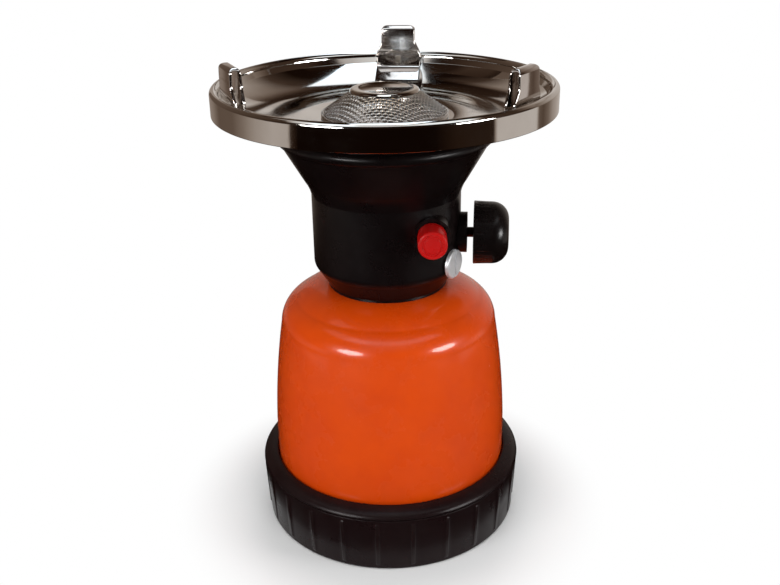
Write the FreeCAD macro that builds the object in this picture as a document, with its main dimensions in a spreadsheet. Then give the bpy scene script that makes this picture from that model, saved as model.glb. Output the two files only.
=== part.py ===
import FreeCAD, Part
import Sketcher
import math
import os

# Single burner camping stove that screws down over a pierceable gas cartridge.
# Frame: millimetres, origin on the floor at the middle of the base, +Z up,
# the knob points along +X and the back pot support stands towards +Y.

V = FreeCAD.Vector
doc = FreeCAD.newDocument("CartridgeStove")
sheet = doc.addObject("Spreadsheet::Sheet", "Sizes")


class Size:
    """A length or angle that knows its value and how the sheet works it out."""

    def __init__(self, text, value):
        self.text = text
        self.value = float(value)

    def __add__(self, other):
        return Size("(%s + %s)" % (self.text, text_of(other)), self.value + value_of(other))

    def __sub__(self, other):
        return Size("(%s - %s)" % (self.text, text_of(other)), self.value - value_of(other))

    def __rsub__(self, other):
        return Size("(%s - %s)" % (text_of(other), self.text), value_of(other) - self.value)

    def __mul__(self, other):
        return Size("(%s * %s)" % (self.text, text_of(other)), self.value * value_of(other))

    def __truediv__(self, other):
        return Size("(%s / %s)" % (self.text, text_of(other)), self.value / value_of(other))

    def __neg__(self):
        return Size("(-1 * %s)" % self.text, -self.value)

    __radd__ = __add__
    __rmul__ = __mul__


def value_of(size):
    return size.value if isinstance(size, Size) else float(size)


def text_of(size):
    return size.text if isinstance(size, Size) else repr(float(size))


def size(alias, value):
    """One driving dimension: a cell of the sheet with an alias."""
    row = size.rows = getattr(size, "rows", 0) + 1
    sheet.set("A%d" % row, alias)
    sheet.set("B%d" % row, str(value))
    sheet.setAlias("B%d" % row, alias)
    return Size("Sizes.%s" % alias, value)


# Clearances
seat_gap = size("seat_gap", 0.3)
slip_fit = size("slip_fit", 0.05)
loose_fit = size("loose_fit", 0.4)

# Gas cartridge and its seal
cartridge_radius = size("cartridge_radius", 44.6)
cartridge_height = size("cartridge_height", 86.7)
cartridge_shoulder = size("cartridge_shoulder", 14.0)
cartridge_dome = size("cartridge_dome", 3.0)
cartridge_sheet = size("cartridge_sheet", 0.6)
cartridge_top_flat = size("cartridge_top_flat", 10.0)
cartridge_foot = size("cartridge_foot", 2.0)
cartridge_foot_width = size("cartridge_foot_width", 6.0)
cartridge_foot_slope = size("cartridge_foot_slope", 1.5)
cartridge_dish_depth = size("cartridge_dish_depth", 1.8)
pierced_hole_radius = size("pierced_hole_radius", 1.6)
seal_radius = size("seal_radius", 6.5)
seal_height = size("seal_height", 3.2)

# Cartridge housing, whose heights are steps down from its flat top
housing_clearance = size("housing_clearance", 3.1)
housing_sheet = size("housing_sheet", 0.7)
housing_belly_inset = size("housing_belly_inset", 4.5)
housing_belly_length = size("housing_belly_length", 44.6)
housing_belly_arc = size("housing_belly_arc", 340.0)
housing_shoulder_inset = size("housing_shoulder_inset", 6.8)
housing_shoulder_rise = size("housing_shoulder_rise", 10.1)
housing_shoulder_arc = size("housing_shoulder_arc", 11.6)
housing_crown_inset = size("housing_crown_inset", 12.7)
housing_crown_rise = size("housing_crown_rise", 5.9)
housing_crown_arc = size("housing_crown_arc", 24.0)

# Base cup
base_side_width = size("base_side_width", 6.2)
base_draft = size("base_draft", 1.1)
base_height = size("base_height", 28.2)
base_floor = size("base_floor", 3.0)
base_recess = size("base_recess", 1.0)
base_wall = size("base_wall", 2.3)
base_skin = size("base_skin", 1.2)
base_corner = size("base_corner", 1.5)
ledge_height = size("ledge_height", 12.7)
ledge_width = size("ledge_width", 2.2)
lip_height = size("lip_height", 3.6)
lip_overhang = size("lip_overhang", 0.4)
lip_groove = size("lip_groove", 0.7)
lip_side_round = size("lip_side_round", 3.4)
lip_crown_round = size("lip_crown_round", 9.0)
lip_crown_inset = size("lip_crown_inset", 1.5)
lip_crown_drop = size("lip_crown_drop", 0.9)
lip_edge = size("lip_edge", 0.4)
locating_ring_wall = size("locating_ring_wall", 1.2)
locating_ring_height = size("locating_ring_height", 3.0)
grip_rib_count = 24
grip_rib_depth = size("grip_rib_depth", 0.35)
grip_rib_root = size("grip_rib_root", 0.6)
grip_rib_angle = size("grip_rib_angle", 1.6)
grip_rib_margin = size("grip_rib_margin", 2.4)

# Valve body, needle and nuts
shank_radius = size("shank_radius", 8.8)
shank_length = size("shank_length", 12.5)
valve_flange_radius = size("valve_flange_radius", 13.5)
valve_flange_height = size("valve_flange_height", 3.0)
barrel_radius = size("barrel_radius", 11.0)
barrel_top_above_spindle = size("barrel_top_above_spindle", 6.8)
spigot_radius = size("spigot_radius", 6.5)
spigot_height = size("spigot_height", 5.5)
gas_bore_radius = size("gas_bore_radius", 1.2)
gland_boss_radius = size("gland_boss_radius", 6.5)
gland_boss_length = size("gland_boss_length", 8.5)
gland_nut_flats = size("gland_nut_flats", 12.0)
gland_nut_length = size("gland_nut_length", 5.0)
lock_nut_flats = size("lock_nut_flats", 24.0)
lock_nut_height = size("lock_nut_height", 4.5)
needle_radius = size("needle_radius", 1.25)
needle_reach = size("needle_reach", 9.5)
needle_tip = size("needle_tip", 2.5)
needle_grip = size("needle_grip", 3.0)
needle_bore_start = size("needle_bore_start", 1.0)

# Jet
jet_thread_radius = size("jet_thread_radius", 1.8)
jet_thread_length = size("jet_thread_length", 3.9)
jet_head_radius = size("jet_head_radius", 3.2)
jet_head_height = size("jet_head_height", 2.6)
jet_tip_radius = size("jet_tip_radius", 1.6)
jet_tip_height = size("jet_tip_height", 3.6)
jet_orifice_radius = size("jet_orifice_radius", 0.25)
jet_orifice_length = size("jet_orifice_length", 0.8)

# Spindle and knob
spindle_rise = size("spindle_rise", 18.7)
spindle_radius = size("spindle_radius", 2.0)
spindle_thread_radius = size("spindle_thread_radius", 2.5)
spindle_thread_start = size("spindle_thread_start", 4.0)
spindle_thread_length = size("spindle_thread_length", 6.5)
spindle_tip_start = size("spindle_tip_start", -3.0)
spindle_tip_length = size("spindle_tip_length", 1.5)
spindle_end_gap = size("spindle_end_gap", 0.5)
o_ring_section = size("o_ring_section", 0.75)
o_ring_groove = size("o_ring_groove", 0.45)
o_ring_inset = size("o_ring_inset", 4.5)
o_ring_chamber_lead = size("o_ring_chamber_lead", 2.8)
knob_radius = size("knob_radius", 12.5)
knob_length = size("knob_length", 13.8)
knob_gap = size("knob_gap", 2.5)
knob_round = size("knob_round", 6.6)
knob_wall = size("knob_wall", 2.0)
knob_hub_radius = size("knob_hub_radius", 4.5)
knob_bore_depth = size("knob_bore_depth", 11.0)
knob_edge = size("knob_edge", 0.4)
knob_taper = size("knob_taper", 0.3)
knob_flute_count = 30
knob_flute_radius = size("knob_flute_radius", 0.6)
knob_flute_depth = size("knob_flute_depth", 0.35)
knob_flute_start = size("knob_flute_start", 1.6)
knob_flute_length = size("knob_flute_length", 10.2)

# Head casing, whose heights are steps up from the housing's top
casing_clearance = size("casing_clearance", 2.8)
casing_wall = size("casing_wall", 2.0)
casing_floor = size("casing_floor", 2.4)
casing_floor_inset = size("casing_floor_inset", 2.6)
collar_height = size("collar_height", 1.0)
collar_inset = size("collar_inset", 4.1)
casing_bevel_rise = size("casing_bevel_rise", 6.6)
casing_bevel_inset = size("casing_bevel_inset", 1.3)
casing_corner_rise = size("casing_corner_rise", 3.3)
casing_corner_round = size("casing_corner_round", 4.6)
casing_side_length = size("casing_side_length", 27.3)
funnel_root_rise = size("funnel_root_rise", 6.2)
funnel_root_flare = size("funnel_root_flare", 2.7)
funnel_arc = size("funnel_arc", 17.0)
funnel_rise = size("funnel_rise", 14.4)
funnel_flare = size("funnel_flare", 8.2)
bead_radius = size("bead_radius", 2.4)
bead_height = size("bead_height", 4.6)
rim_rise = size("rim_rise", 4.0)
rim_inset = size("rim_inset", 1.2)
rim_land = size("rim_land", 1.0)
spindle_boss_radius = size("spindle_boss_radius", 8.0)
spindle_boss_height = size("spindle_boss_height", 2.6)
spindle_boss_root = size("spindle_boss_root", 0.6)
air_notch_count = 6
air_notch_width = size("air_notch_width", 12.0)
air_notch_depth = size("air_notch_depth", 2.6)
air_notch_length = size("air_notch_length", 10.0)

# Casing screw
screw_angle = size("screw_angle", -26.0)
screw_drop = size("screw_drop", 8.3)
screw_head_radius = size("screw_head_radius", 5.7)
screw_head_height = size("screw_head_height", 1.6)
screw_head_edge = size("screw_head_edge", 0.4)
screw_shank_radius = size("screw_shank_radius", 2.0)
screw_grip = size("screw_grip", 4.5)
screw_slot_width = size("screw_slot_width", 1.3)
screw_slot_depth = size("screw_slot_depth", 0.9)

# Dish
dish_radius = size("dish_radius", 65.0)
dish_sheet = size("dish_sheet", 0.7)
dish_bowl_depth = size("dish_bowl_depth", 12.0)
dish_skirt_depth = size("dish_skirt_depth", 9.6)
dish_rim_round = size("dish_rim_round", 1.7)
dish_shoulder_width = size("dish_shoulder_width", 1.2)
dish_shoulder_depth = size("dish_shoulder_depth", 2.2)
dish_shoulder_round = size("dish_shoulder_round", 2.4)
dish_crease_inset = size("dish_crease_inset", 4.5)
dish_crease_depth = size("dish_crease_depth", 4.4)
dish_floor_radius = size("dish_floor_radius", 26.0)
dish_floor_drop = size("dish_floor_drop", 0.8)
dish_bowl_arc = size("dish_bowl_arc", 36.0)

# Pot supports
support_rise = size("support_rise", 11.5)
support_inset = size("support_inset", 4.0)
support_depth = size("support_depth", 4.5)
support_sheet = size("support_sheet", 1.0)
support_round = size("support_round", 1.8)
support_top_width = size("support_top_width", 14.0)
support_foot_width = size("support_foot_width", 18.5)
support_flare_top_rise = size("support_flare_top_rise", 3.5)
support_flare_bottom_rise = size("support_flare_bottom_rise", 0.6)
support_corner = size("support_corner", 2.2)
support_foot_length = size("support_foot_length", 8.2)
support_foot_drop = size("support_foot_drop", 3.8)
support_leg_clear = size("support_leg_clear", 1.7)
support_bend_rise = size("support_bend_rise", 0.7)
support_trim_margin = size("support_trim_margin", 3.0)

support_angles = {"support_back": 90.0, "support_left": 210.0, "support_right": 330.0}

# Burner
tube_wall = size("tube_wall", 1.1)
air_port_radius = size("air_port_radius", 2.2)
air_port_rise = size("air_port_rise", 6.0)
air_port_count = 4
burner_radius = size("burner_radius", 24.2)
burner_cup_sheet = size("burner_cup_sheet", 0.7)
burner_cup_wall = size("burner_cup_wall", 1.6)
burner_tail_wall = size("burner_tail_wall", 0.9)
burner_tail_length = size("burner_tail_length", 11.0)
mesh_sheet = size("mesh_sheet", 0.5)
mesh_foot = size("mesh_foot", 0.8)
mesh_top_radius = size("mesh_top_radius", 12.2)
mesh_rise = size("mesh_rise", 9.7)
cap_sheet = size("cap_sheet", 0.8)
cap_skirt = size("cap_skirt", 0.45)
cap_overhang = size("cap_overhang", 0.8)
cap_edge = size("cap_edge", 0.3)
cap_round = size("cap_round", 1.6)
dish_nut_flats = size("dish_nut_flats", 22.0)
dish_nut_height = size("dish_nut_height", 4.0)

# Igniter, whose places are distances along its axis
igniter_angle = size("igniter_angle", -85.0)
igniter_offset = size("igniter_offset", 17.2)
igniter_rise = size("igniter_rise", 7.0)
button_radius = size("button_radius", 5.5)
button_reach = size("button_reach", 7.0)
button_wall = size("button_wall", 1.2)
button_length = size("button_length", 11.8)
button_round = size("button_round", 0.8)
button_dish = size("button_dish", 0.5)
button_dish_radius = size("button_dish_radius", 3.8)
button_travel = size("button_travel", 5.0)
sleeve_wall = size("sleeve_wall", 1.5)
sleeve_inset = size("sleeve_inset", 2.1)
sleeve_length = size("sleeve_length", 13.8)
piezo_flange = size("piezo_flange", 3.9)
piezo_radius = size("piezo_radius", 6.2)
piezo_nose_radius = size("piezo_nose_radius", 3.8)
piezo_nose_length = size("piezo_nose_length", 13.1)
piezo_bore_radius = size("piezo_bore_radius", 2.4)
piezo_floor = size("piezo_floor", 1.0)
plunger_radius = size("plunger_radius", 2.1)
plunger_end_gap = size("plunger_end_gap", 0.2)
crystal_length = size("crystal_length", 3.4)
anvil_length = size("anvil_length", 1.4)
terminal_radius = size("terminal_radius", 0.7)
terminal_length = size("terminal_length", 2.0)
spring_wire_radius = size("spring_wire_radius", 0.25)
spring_end_gap = size("spring_end_gap", 0.5)
spring_turns = 5

# Electrode and lead
electrode_angle = size("electrode_angle", 96.0)
electrode_gap = size("electrode_gap", 3.8)
ceramic_radius = size("ceramic_radius", 2.0)
ceramic_drop = size("ceramic_drop", 12.5)
ceramic_rise = size("ceramic_rise", 3.8)
ceramic_edge = size("ceramic_edge", 0.6)
electrode_wire_radius = size("electrode_wire_radius", 0.5)
electrode_tip_clear = size("electrode_tip_clear", 1.6)
electrode_tip_reach = size("electrode_tip_reach", 4.0)
electrode_tip_rise = size("electrode_tip_rise", 0.6)
electrode_bend = size("electrode_bend", 1.5)
electrode_tail = size("electrode_tail", 3.0)
bracket_sheet = size("bracket_sheet", 0.8)
bracket_arm_width = size("bracket_arm_width", 7.0)
bracket_margin = size("bracket_margin", 1.6)
bracket_corner = size("bracket_corner", 1.5)
bracket_ring_width = size("bracket_ring_width", 1.2)
lead_radius = size("lead_radius", 0.9)
lead_straight_out = size("lead_straight_out", 4.0)
lead_straight_in = size("lead_straight_in", 6.0)
lead_bend_share = 0.45

# Which way the outer surface faces at a wall's corners, in degrees up from outwards
crown_lean = 55
shoulder_lean = 8
funnel_top_lean = -30
funnel_mid_lean = -35
funnel_root_lean = -12
bevel_lean = -32
crease_lean = 119
rim_lean = 150

# How far a cutting shape runs past the face that it cuts
past_face = 1.0

# Directions that parts are turned or bored about
upwards = V(0, 0, 1)
towards_knob = V(1, 0, 0)

# Heights worked out from the driving dimensions, from the floor up
housing_bottom = ledge_height + seat_gap
cartridge_bottom = base_floor + seat_gap
cartridge_top = cartridge_bottom + cartridge_height
shank_bottom = cartridge_top + seat_gap + seal_height
casing_floor_top = shank_bottom + shank_length
housing_top = casing_floor_top - casing_floor
housing_crown_height = housing_top - housing_crown_rise
housing_shoulder_height = housing_crown_height - housing_shoulder_rise
housing_straight_top = housing_shoulder_height - housing_belly_length
spindle_height = casing_floor_top + spindle_rise
screw_height = spindle_height - screw_drop
igniter_height = spindle_height + igniter_rise
barrel_top = spindle_height + barrel_top_above_spindle
spigot_top = barrel_top + spigot_height
air_port_height = spigot_top + air_port_rise
casing_bevel_height = housing_top + collar_height + casing_bevel_rise
casing_side_start = casing_bevel_height + casing_corner_rise
casing_side_end = casing_side_start + casing_side_length
funnel_mid_height = casing_side_end + funnel_root_rise
funnel_top_height = funnel_mid_height + funnel_rise
casing_top = funnel_top_height + bead_height + rim_rise
dish_seat_height = casing_top + seat_gap + dish_sheet
dish_floor_height = dish_seat_height - dish_floor_drop
dish_underside = dish_floor_height - dish_sheet
dish_rim_height = dish_seat_height + dish_bowl_depth
mesh_top_height = dish_floor_height + mesh_rise
support_top = dish_rim_height + support_rise
ceramic_bottom = dish_underside - ceramic_drop
ceramic_top = dish_floor_height + ceramic_rise
electrode_tip_height = ceramic_top + electrode_tip_clear

# Radii and distances from the middle
housing_radius = cartridge_radius + housing_clearance + housing_sheet
housing_shoulder_radius = housing_radius - housing_belly_inset
housing_crown_radius = housing_shoulder_radius - housing_shoulder_inset
housing_flat_radius = housing_crown_radius - housing_crown_inset
belt_radius = housing_radius + loose_fit
base_radius = housing_radius + base_side_width
shank_hole = shank_radius + loose_fit
gland_boss_end = barrel_radius + gland_boss_length
o_ring_place = gland_boss_end - o_ring_inset
o_ring_chamber_start = o_ring_place - o_ring_chamber_lead
casing_radius = gland_boss_end + gland_nut_length + casing_clearance + casing_wall
casing_bevel_radius = casing_radius - casing_bevel_inset
collar_radius = casing_bevel_radius - collar_inset
funnel_mid_radius = casing_radius + funnel_root_flare
funnel_top_radius = funnel_mid_radius + funnel_flare
spindle_boss_face = casing_radius + spindle_boss_height
knob_face = spindle_boss_face + knob_gap
knob_end = knob_face + knob_length
dish_seat_radius = funnel_top_radius - rim_inset
dish_crease_radius = dish_radius - dish_crease_inset
dish_shoulder_radius = dish_crease_radius + dish_shoulder_width
support_outer = dish_radius - support_inset
tube_inner = spigot_radius + slip_fit
tube_outer = tube_inner + tube_wall
tail_inner = tube_outer + slip_fit
tail_outer = tail_inner + burner_tail_wall
dish_hole = tail_outer + slip_fit
electrode_place = burner_radius + electrode_gap

# Distances along the igniter's axis
button_face = casing_radius + button_reach
sleeve_face = casing_radius - sleeve_inset
sleeve_back = sleeve_face - sleeve_length
sleeve_radius = button_radius + loose_fit / 2 + sleeve_wall
piezo_back = sleeve_back - piezo_flange
anvil_end = piezo_back + piezo_floor + crystal_length + anvil_length
plunger_back = anvil_end + plunger_end_gap + button_travel


def new_body(label):
    body = doc.addObject("PartDesign::Body", label)
    body.Label = label
    return body


def origin_feature(body, role):
    for feature in body.Origin.OriginFeatures:
        if feature.Role == role:
            return feature
    raise ValueError("no origin feature " + role)


def new_sketch(body, name, role="XZ_Plane"):
    sketch = body.newObject("Sketcher::SketchObject", name)
    sketch.AttachmentSupport = [(origin_feature(body, role), "")]
    sketch.MapMode = "FlatFace"
    return sketch


def arc_centre(start, end, radius):
    """Centre of the arc from start to end; a positive radius turns left."""
    middle = V((start[0] + end[0]) / 2, (start[1] + end[1]) / 2, 0)
    along = V(end[0] - start[0], end[1] - start[1], 0)
    half = along.Length / 2
    left = V(-along.y, along.x, 0).normalize()
    reach = math.sqrt(max(radius * radius - half * half, 0.0))
    return middle + left * math.copysign(reach, radius)


def outline(sketch, corners):
    """Closed outline: each corner is (x, y), or (x, y, r) where an arc of radius r arrives."""
    places = [(value_of(corner[0]), value_of(corner[1])) for corner in corners]
    count = len(corners)
    edges = []
    radii = []
    for index in range(count):
        start = places[index]
        end = places[(index + 1) % count]
        arriving = corners[(index + 1) % count]
        if len(arriving) == 3:
            radius = value_of(arriving[2])
            centre = arc_centre(start, end, radius)
            circle = Part.Circle(centre, upwards, abs(radius))
            start_angle = math.atan2(start[1] - centre.y, start[0] - centre.x)
            end_angle = math.atan2(end[1] - centre.y, end[0] - centre.x)
            if radius < 0:
                start_angle, end_angle = end_angle, start_angle
            while end_angle < start_angle:
                end_angle += 2 * math.pi
            edge = sketch.addGeometry(Part.ArcOfCircle(circle, start_angle, end_angle), False)
            edges.append((edge, 1, 2) if radius > 0 else (edge, 2, 1))
            radii.append((edge, arriving[2] if radius > 0 else -arriving[2]))
        else:
            line = Part.LineSegment(V(start[0], start[1], 0), V(end[0], end[1], 0))
            edges.append((sketch.addGeometry(line, False), 1, 2))
    joins = []
    for index in range(count):
        here = edges[index]
        after = edges[(index + 1) % count]
        joins.append(Sketcher.Constraint("Coincident", here[0], here[2], after[0], after[1]))
    sketch.addConstraint(joins)
    for index, corner in enumerate(corners):
        edge, start, _ = edges[index]
        for axis, coordinate in (("DistanceX", corner[0]), ("DistanceY", corner[1])):
            if value_of(coordinate) == 0:
                line = -2 if axis == "DistanceX" else -1
                sketch.addConstraint(Sketcher.Constraint("PointOnObject", edge, start, line))
            else:
                number = sketch.addConstraint(
                    Sketcher.Constraint(axis, -1, 1, edge, start, value_of(coordinate)))
                sketch.setExpression("Constraints[%d]" % number, text_of(coordinate))
    for edge, radius in radii:
        number = sketch.addConstraint(Sketcher.Constraint("Radius", edge, value_of(radius)))
        sketch.setExpression("Constraints[%d]" % number, text_of(radius))


def inner_corner(radius, height, wall, lean):
    """Corner a wall's thickness behind a surface that faces lean degrees up from outwards."""
    turn = math.radians(lean)
    return (radius - wall * math.cos(turn), height - wall * math.sin(turn))


def revolve(body, corners, name="Turned", angle=360.0, midplane=False):
    """Turn a closed outline of the XZ plane about the vertical axis."""
    sketch = new_sketch(body, name + "Outline")
    outline(sketch, corners)
    feature = body.newObject("PartDesign::Revolution", name)
    feature.Profile = sketch
    feature.ReferenceAxis = (sketch, ["V_Axis"])
    feature.Angle = value_of(angle)
    if isinstance(angle, Size):
        feature.setExpression("Angle", angle.text)
    feature.Midplane = midplane
    sketch.Visibility = False
    return feature


def turned_part(label, corners):
    body = new_body(label)
    revolve(body, corners)
    return body


def standing(place, direction=upwards):
    """Placement that moves a shape made about the vertical axis to a place and direction."""
    return FreeCAD.Placement(place, FreeCAD.Rotation(upwards, direction))


def cylinder(body, kind, name, radius, length, place, direction=upwards):
    """Round boss or hole in a body: kind is Additive or Subtractive."""
    feature = body.newObject("PartDesign::%sCylinder" % kind, name)
    feature.setExpression("Radius", text_of(radius))
    feature.setExpression("Height", text_of(length))
    feature.Placement = standing(place, direction)
    return feature


def polar_pattern(body, feature, count):
    pattern = body.newObject("PartDesign::PolarPattern", feature.Name + "Pattern")
    pattern.Originals = [feature]
    pattern.Axis = (origin_feature(body, "Z_Axis"), [""])
    pattern.Angle = 360
    pattern.Occurrences = count
    body.Tip = pattern
    return pattern


def hex_nut(label, flats, height, hole_radius, place, direction=upwards):
    """Six sided nut whose length runs along the direction from its place."""
    prism = doc.addObject("Part::Prism", label + "_hexagon")
    prism.Polygon = 6
    prism.setExpression("Circumradius", text_of(flats / (2 * math.cos(math.pi / 6))))
    prism.setExpression("Height", text_of(height))
    hole = doc.addObject("Part::Cylinder", label + "_hole")
    hole.setExpression("Radius", text_of(hole_radius))
    hole.setExpression("Height", text_of(height))
    nut = doc.addObject("Part::Cut", label)
    nut.Base = prism
    nut.Tool = hole
    nut.Label = label
    nut.Placement = standing(place, direction)
    return nut


def heading(angle):
    radians = math.radians(value_of(angle))
    return V(math.cos(radians), math.sin(radians), 0)


def base_cup():
    """Black screw-on cup: floor, ledge for the housing, rounded lip and grip ribs."""
    side_top = base_height - lip_height
    inner_ring = belt_radius - ledge_width
    core_inner = inner_ring + base_wall
    core_outer = base_radius - base_draft - base_skin
    body = new_body("base_cup")
    revolve(body, [
        (0, base_recess),
        (inner_ring - base_recess, base_recess),
        (inner_ring, 0),
        (core_inner, 0),
        (core_inner, ledge_height - base_wall),
        (core_outer, ledge_height - base_wall),
        (core_outer, 0),
        (base_radius - base_draft - base_corner / 2, 0),
        (base_radius - base_draft, base_corner, base_corner),
        (base_radius, side_top - lip_groove),
        (base_radius - lip_groove, side_top - lip_groove / 2),
        (base_radius - lip_groove, side_top),
        (base_radius + lip_overhang, side_top + lip_groove / 2),
        (base_radius - lip_crown_inset, base_height - lip_crown_drop, lip_side_round),
        (belt_radius + lip_edge, base_height, lip_crown_round),
        (belt_radius, base_height - lip_edge),
        (belt_radius, ledge_height),
        (inner_ring, ledge_height),
        (inner_ring, base_floor),
        (cartridge_radius + loose_fit + locating_ring_wall, base_floor),
        (cartridge_radius + loose_fit + locating_ring_wall, base_floor + locating_ring_height),
        (cartridge_radius + loose_fit, base_floor + locating_ring_height),
        (cartridge_radius + loose_fit, base_floor),
        (0, base_floor),
    ])
    rib = revolve(body, [
        (base_radius - base_draft - grip_rib_root, grip_rib_margin),
        (base_radius - base_draft + grip_rib_depth, grip_rib_margin),
        (base_radius + grip_rib_depth, side_top - grip_rib_margin),
        (base_radius - grip_rib_root, side_top - grip_rib_margin),
    ], "GripRib", grip_rib_angle, True)
    polar_pattern(body, rib, grip_rib_count)
    return body


def gas_cartridge():
    """Closed tinplate cartridge with a domed top, already pierced in its middle."""
    wall = cartridge_sheet
    shoulder_top = cartridge_top - cartridge_dome
    shoulder_side = shoulder_top - cartridge_shoulder
    crown = cartridge_radius - cartridge_shoulder
    foot_inner = cartridge_radius - cartridge_foot_width
    raised = cartridge_bottom + cartridge_dish_depth
    return turned_part("gas_cartridge", [
        (0, raised),
        (foot_inner - cartridge_foot_slope, raised),
        (foot_inner, cartridge_bottom),
        (cartridge_radius - cartridge_foot, cartridge_bottom),
        (cartridge_radius, cartridge_bottom + cartridge_foot, cartridge_foot),
        (cartridge_radius, shoulder_side),
        (crown, shoulder_top, cartridge_shoulder),
        (cartridge_top_flat, cartridge_top),
        (pierced_hole_radius, cartridge_top),
        (pierced_hole_radius, cartridge_top - wall),
        (cartridge_top_flat, cartridge_top - wall),
        (crown, shoulder_top - wall),
        (cartridge_radius - wall, shoulder_side, wall - cartridge_shoulder),
        (cartridge_radius - wall, cartridge_bottom + cartridge_foot),
        (cartridge_radius - cartridge_foot, cartridge_bottom + wall, wall - cartridge_foot),
        (foot_inner + wall / 2, cartridge_bottom + wall),
        (foot_inner + wall / 2 - cartridge_foot_slope, raised + wall),
        (0, raised + wall),
    ])


def cartridge_housing():
    """Painted steel bell over the cartridge, flat on top where the valve clamps it."""
    wall = housing_sheet
    crown = inner_corner(housing_crown_radius, housing_crown_height, wall, crown_lean)
    shoulder = inner_corner(housing_shoulder_radius, housing_shoulder_height, wall, shoulder_lean)
    return turned_part("cartridge_housing", [
        (housing_radius, housing_bottom),
        (housing_radius, housing_straight_top),
        (housing_shoulder_radius, housing_shoulder_height, housing_belly_arc),
        (housing_crown_radius, housing_crown_height, housing_shoulder_arc),
        (housing_flat_radius, housing_top, housing_crown_arc),
        (shank_hole, housing_top),
        (shank_hole, housing_top - wall),
        (housing_flat_radius - wall / 3, housing_top - wall),
        crown + (wall - housing_crown_arc,),
        shoulder + (wall - housing_shoulder_arc,),
        (housing_radius - wall, housing_straight_top, wall - housing_belly_arc),
        (housing_radius - wall, housing_bottom),
    ])


def head_casing():
    """Black moulded head: collar, drum and funnel, bored for knob, igniter and screw."""
    wall = casing_wall
    side = heading(screw_angle)
    body = new_body("head_casing")
    revolve(body, [
        (shank_hole, housing_top),
        (collar_radius, housing_top),
        (collar_radius, housing_top + collar_height),
        (casing_bevel_radius, casing_bevel_height),
        (casing_radius, casing_side_start, casing_corner_round),
        (casing_radius, casing_side_end),
        (funnel_mid_radius, funnel_mid_height, -funnel_arc),
        (funnel_top_radius, funnel_top_height),
        (funnel_top_radius, funnel_top_height + bead_height, bead_radius),
        (dish_seat_radius + rim_land, casing_top),
        (dish_seat_radius - rim_land, casing_top),
        inner_corner(funnel_top_radius, funnel_top_height, wall, funnel_top_lean),
        inner_corner(funnel_mid_radius, funnel_mid_height, wall, funnel_mid_lean),
        inner_corner(casing_radius, casing_side_end, wall, funnel_root_lean) + (funnel_arc + wall,),
        (casing_radius - wall, casing_side_start),
        inner_corner(casing_bevel_radius, casing_bevel_height, wall, bevel_lean),
        (collar_radius - casing_floor_inset, casing_floor_top),
        (shank_hole, casing_floor_top),
    ])
    inner = casing_radius - wall - spindle_boss_root
    cylinder(body, "Additive", "SpindleBoss", spindle_boss_radius, spindle_boss_face - inner,
             V(inner.value, 0, spindle_height.value), towards_knob)
    aim = heading(igniter_angle)
    cylinder(body, "Additive", "IgniterSleeve", sleeve_radius, sleeve_face - sleeve_back,
             igniter_point(sleeve_back), aim)
    cylinder(body, "Subtractive", "SpindleHole", spindle_radius + loose_fit, casing_radius,
             V(casing_radius.value / 2, 0, spindle_height.value), towards_knob)
    cylinder(body, "Subtractive", "ButtonHole", button_radius + loose_fit / 2, sleeve_face,
             igniter_point(piezo_back), aim)
    cylinder(body, "Subtractive", "ScrewHole", screw_shank_radius + loose_fit, casing_radius,
             side * (casing_radius.value / 2) + V(0, 0, screw_height.value), side)
    notch = body.newObject("PartDesign::SubtractiveBox", "AirNotch")
    notch.setExpression("Length", air_notch_length.text)
    notch.setExpression("Width", air_notch_width.text)
    notch.setExpression("Height", text_of(air_notch_depth + past_face))
    notch.Placement = FreeCAD.Placement(
        V((dish_seat_radius - air_notch_length / 2).value, -air_notch_width.value / 2,
          (casing_top - air_notch_depth).value), FreeCAD.Rotation())
    polar_pattern(body, notch, air_notch_count)
    return body


def igniter_point(distance):
    """Point on the igniter's axis at a distance from the plane through the middle."""
    aim = heading(igniter_angle)
    across = V(-aim.y, aim.x, 0)
    return across * igniter_offset.value + aim * value_of(distance) + V(0, 0, igniter_height.value)


def aim_along_igniter(body):
    """Stand a turned part, made about the vertical axis, on the igniter's axis."""
    body.Placement = standing(igniter_point(0), heading(igniter_angle))


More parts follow.
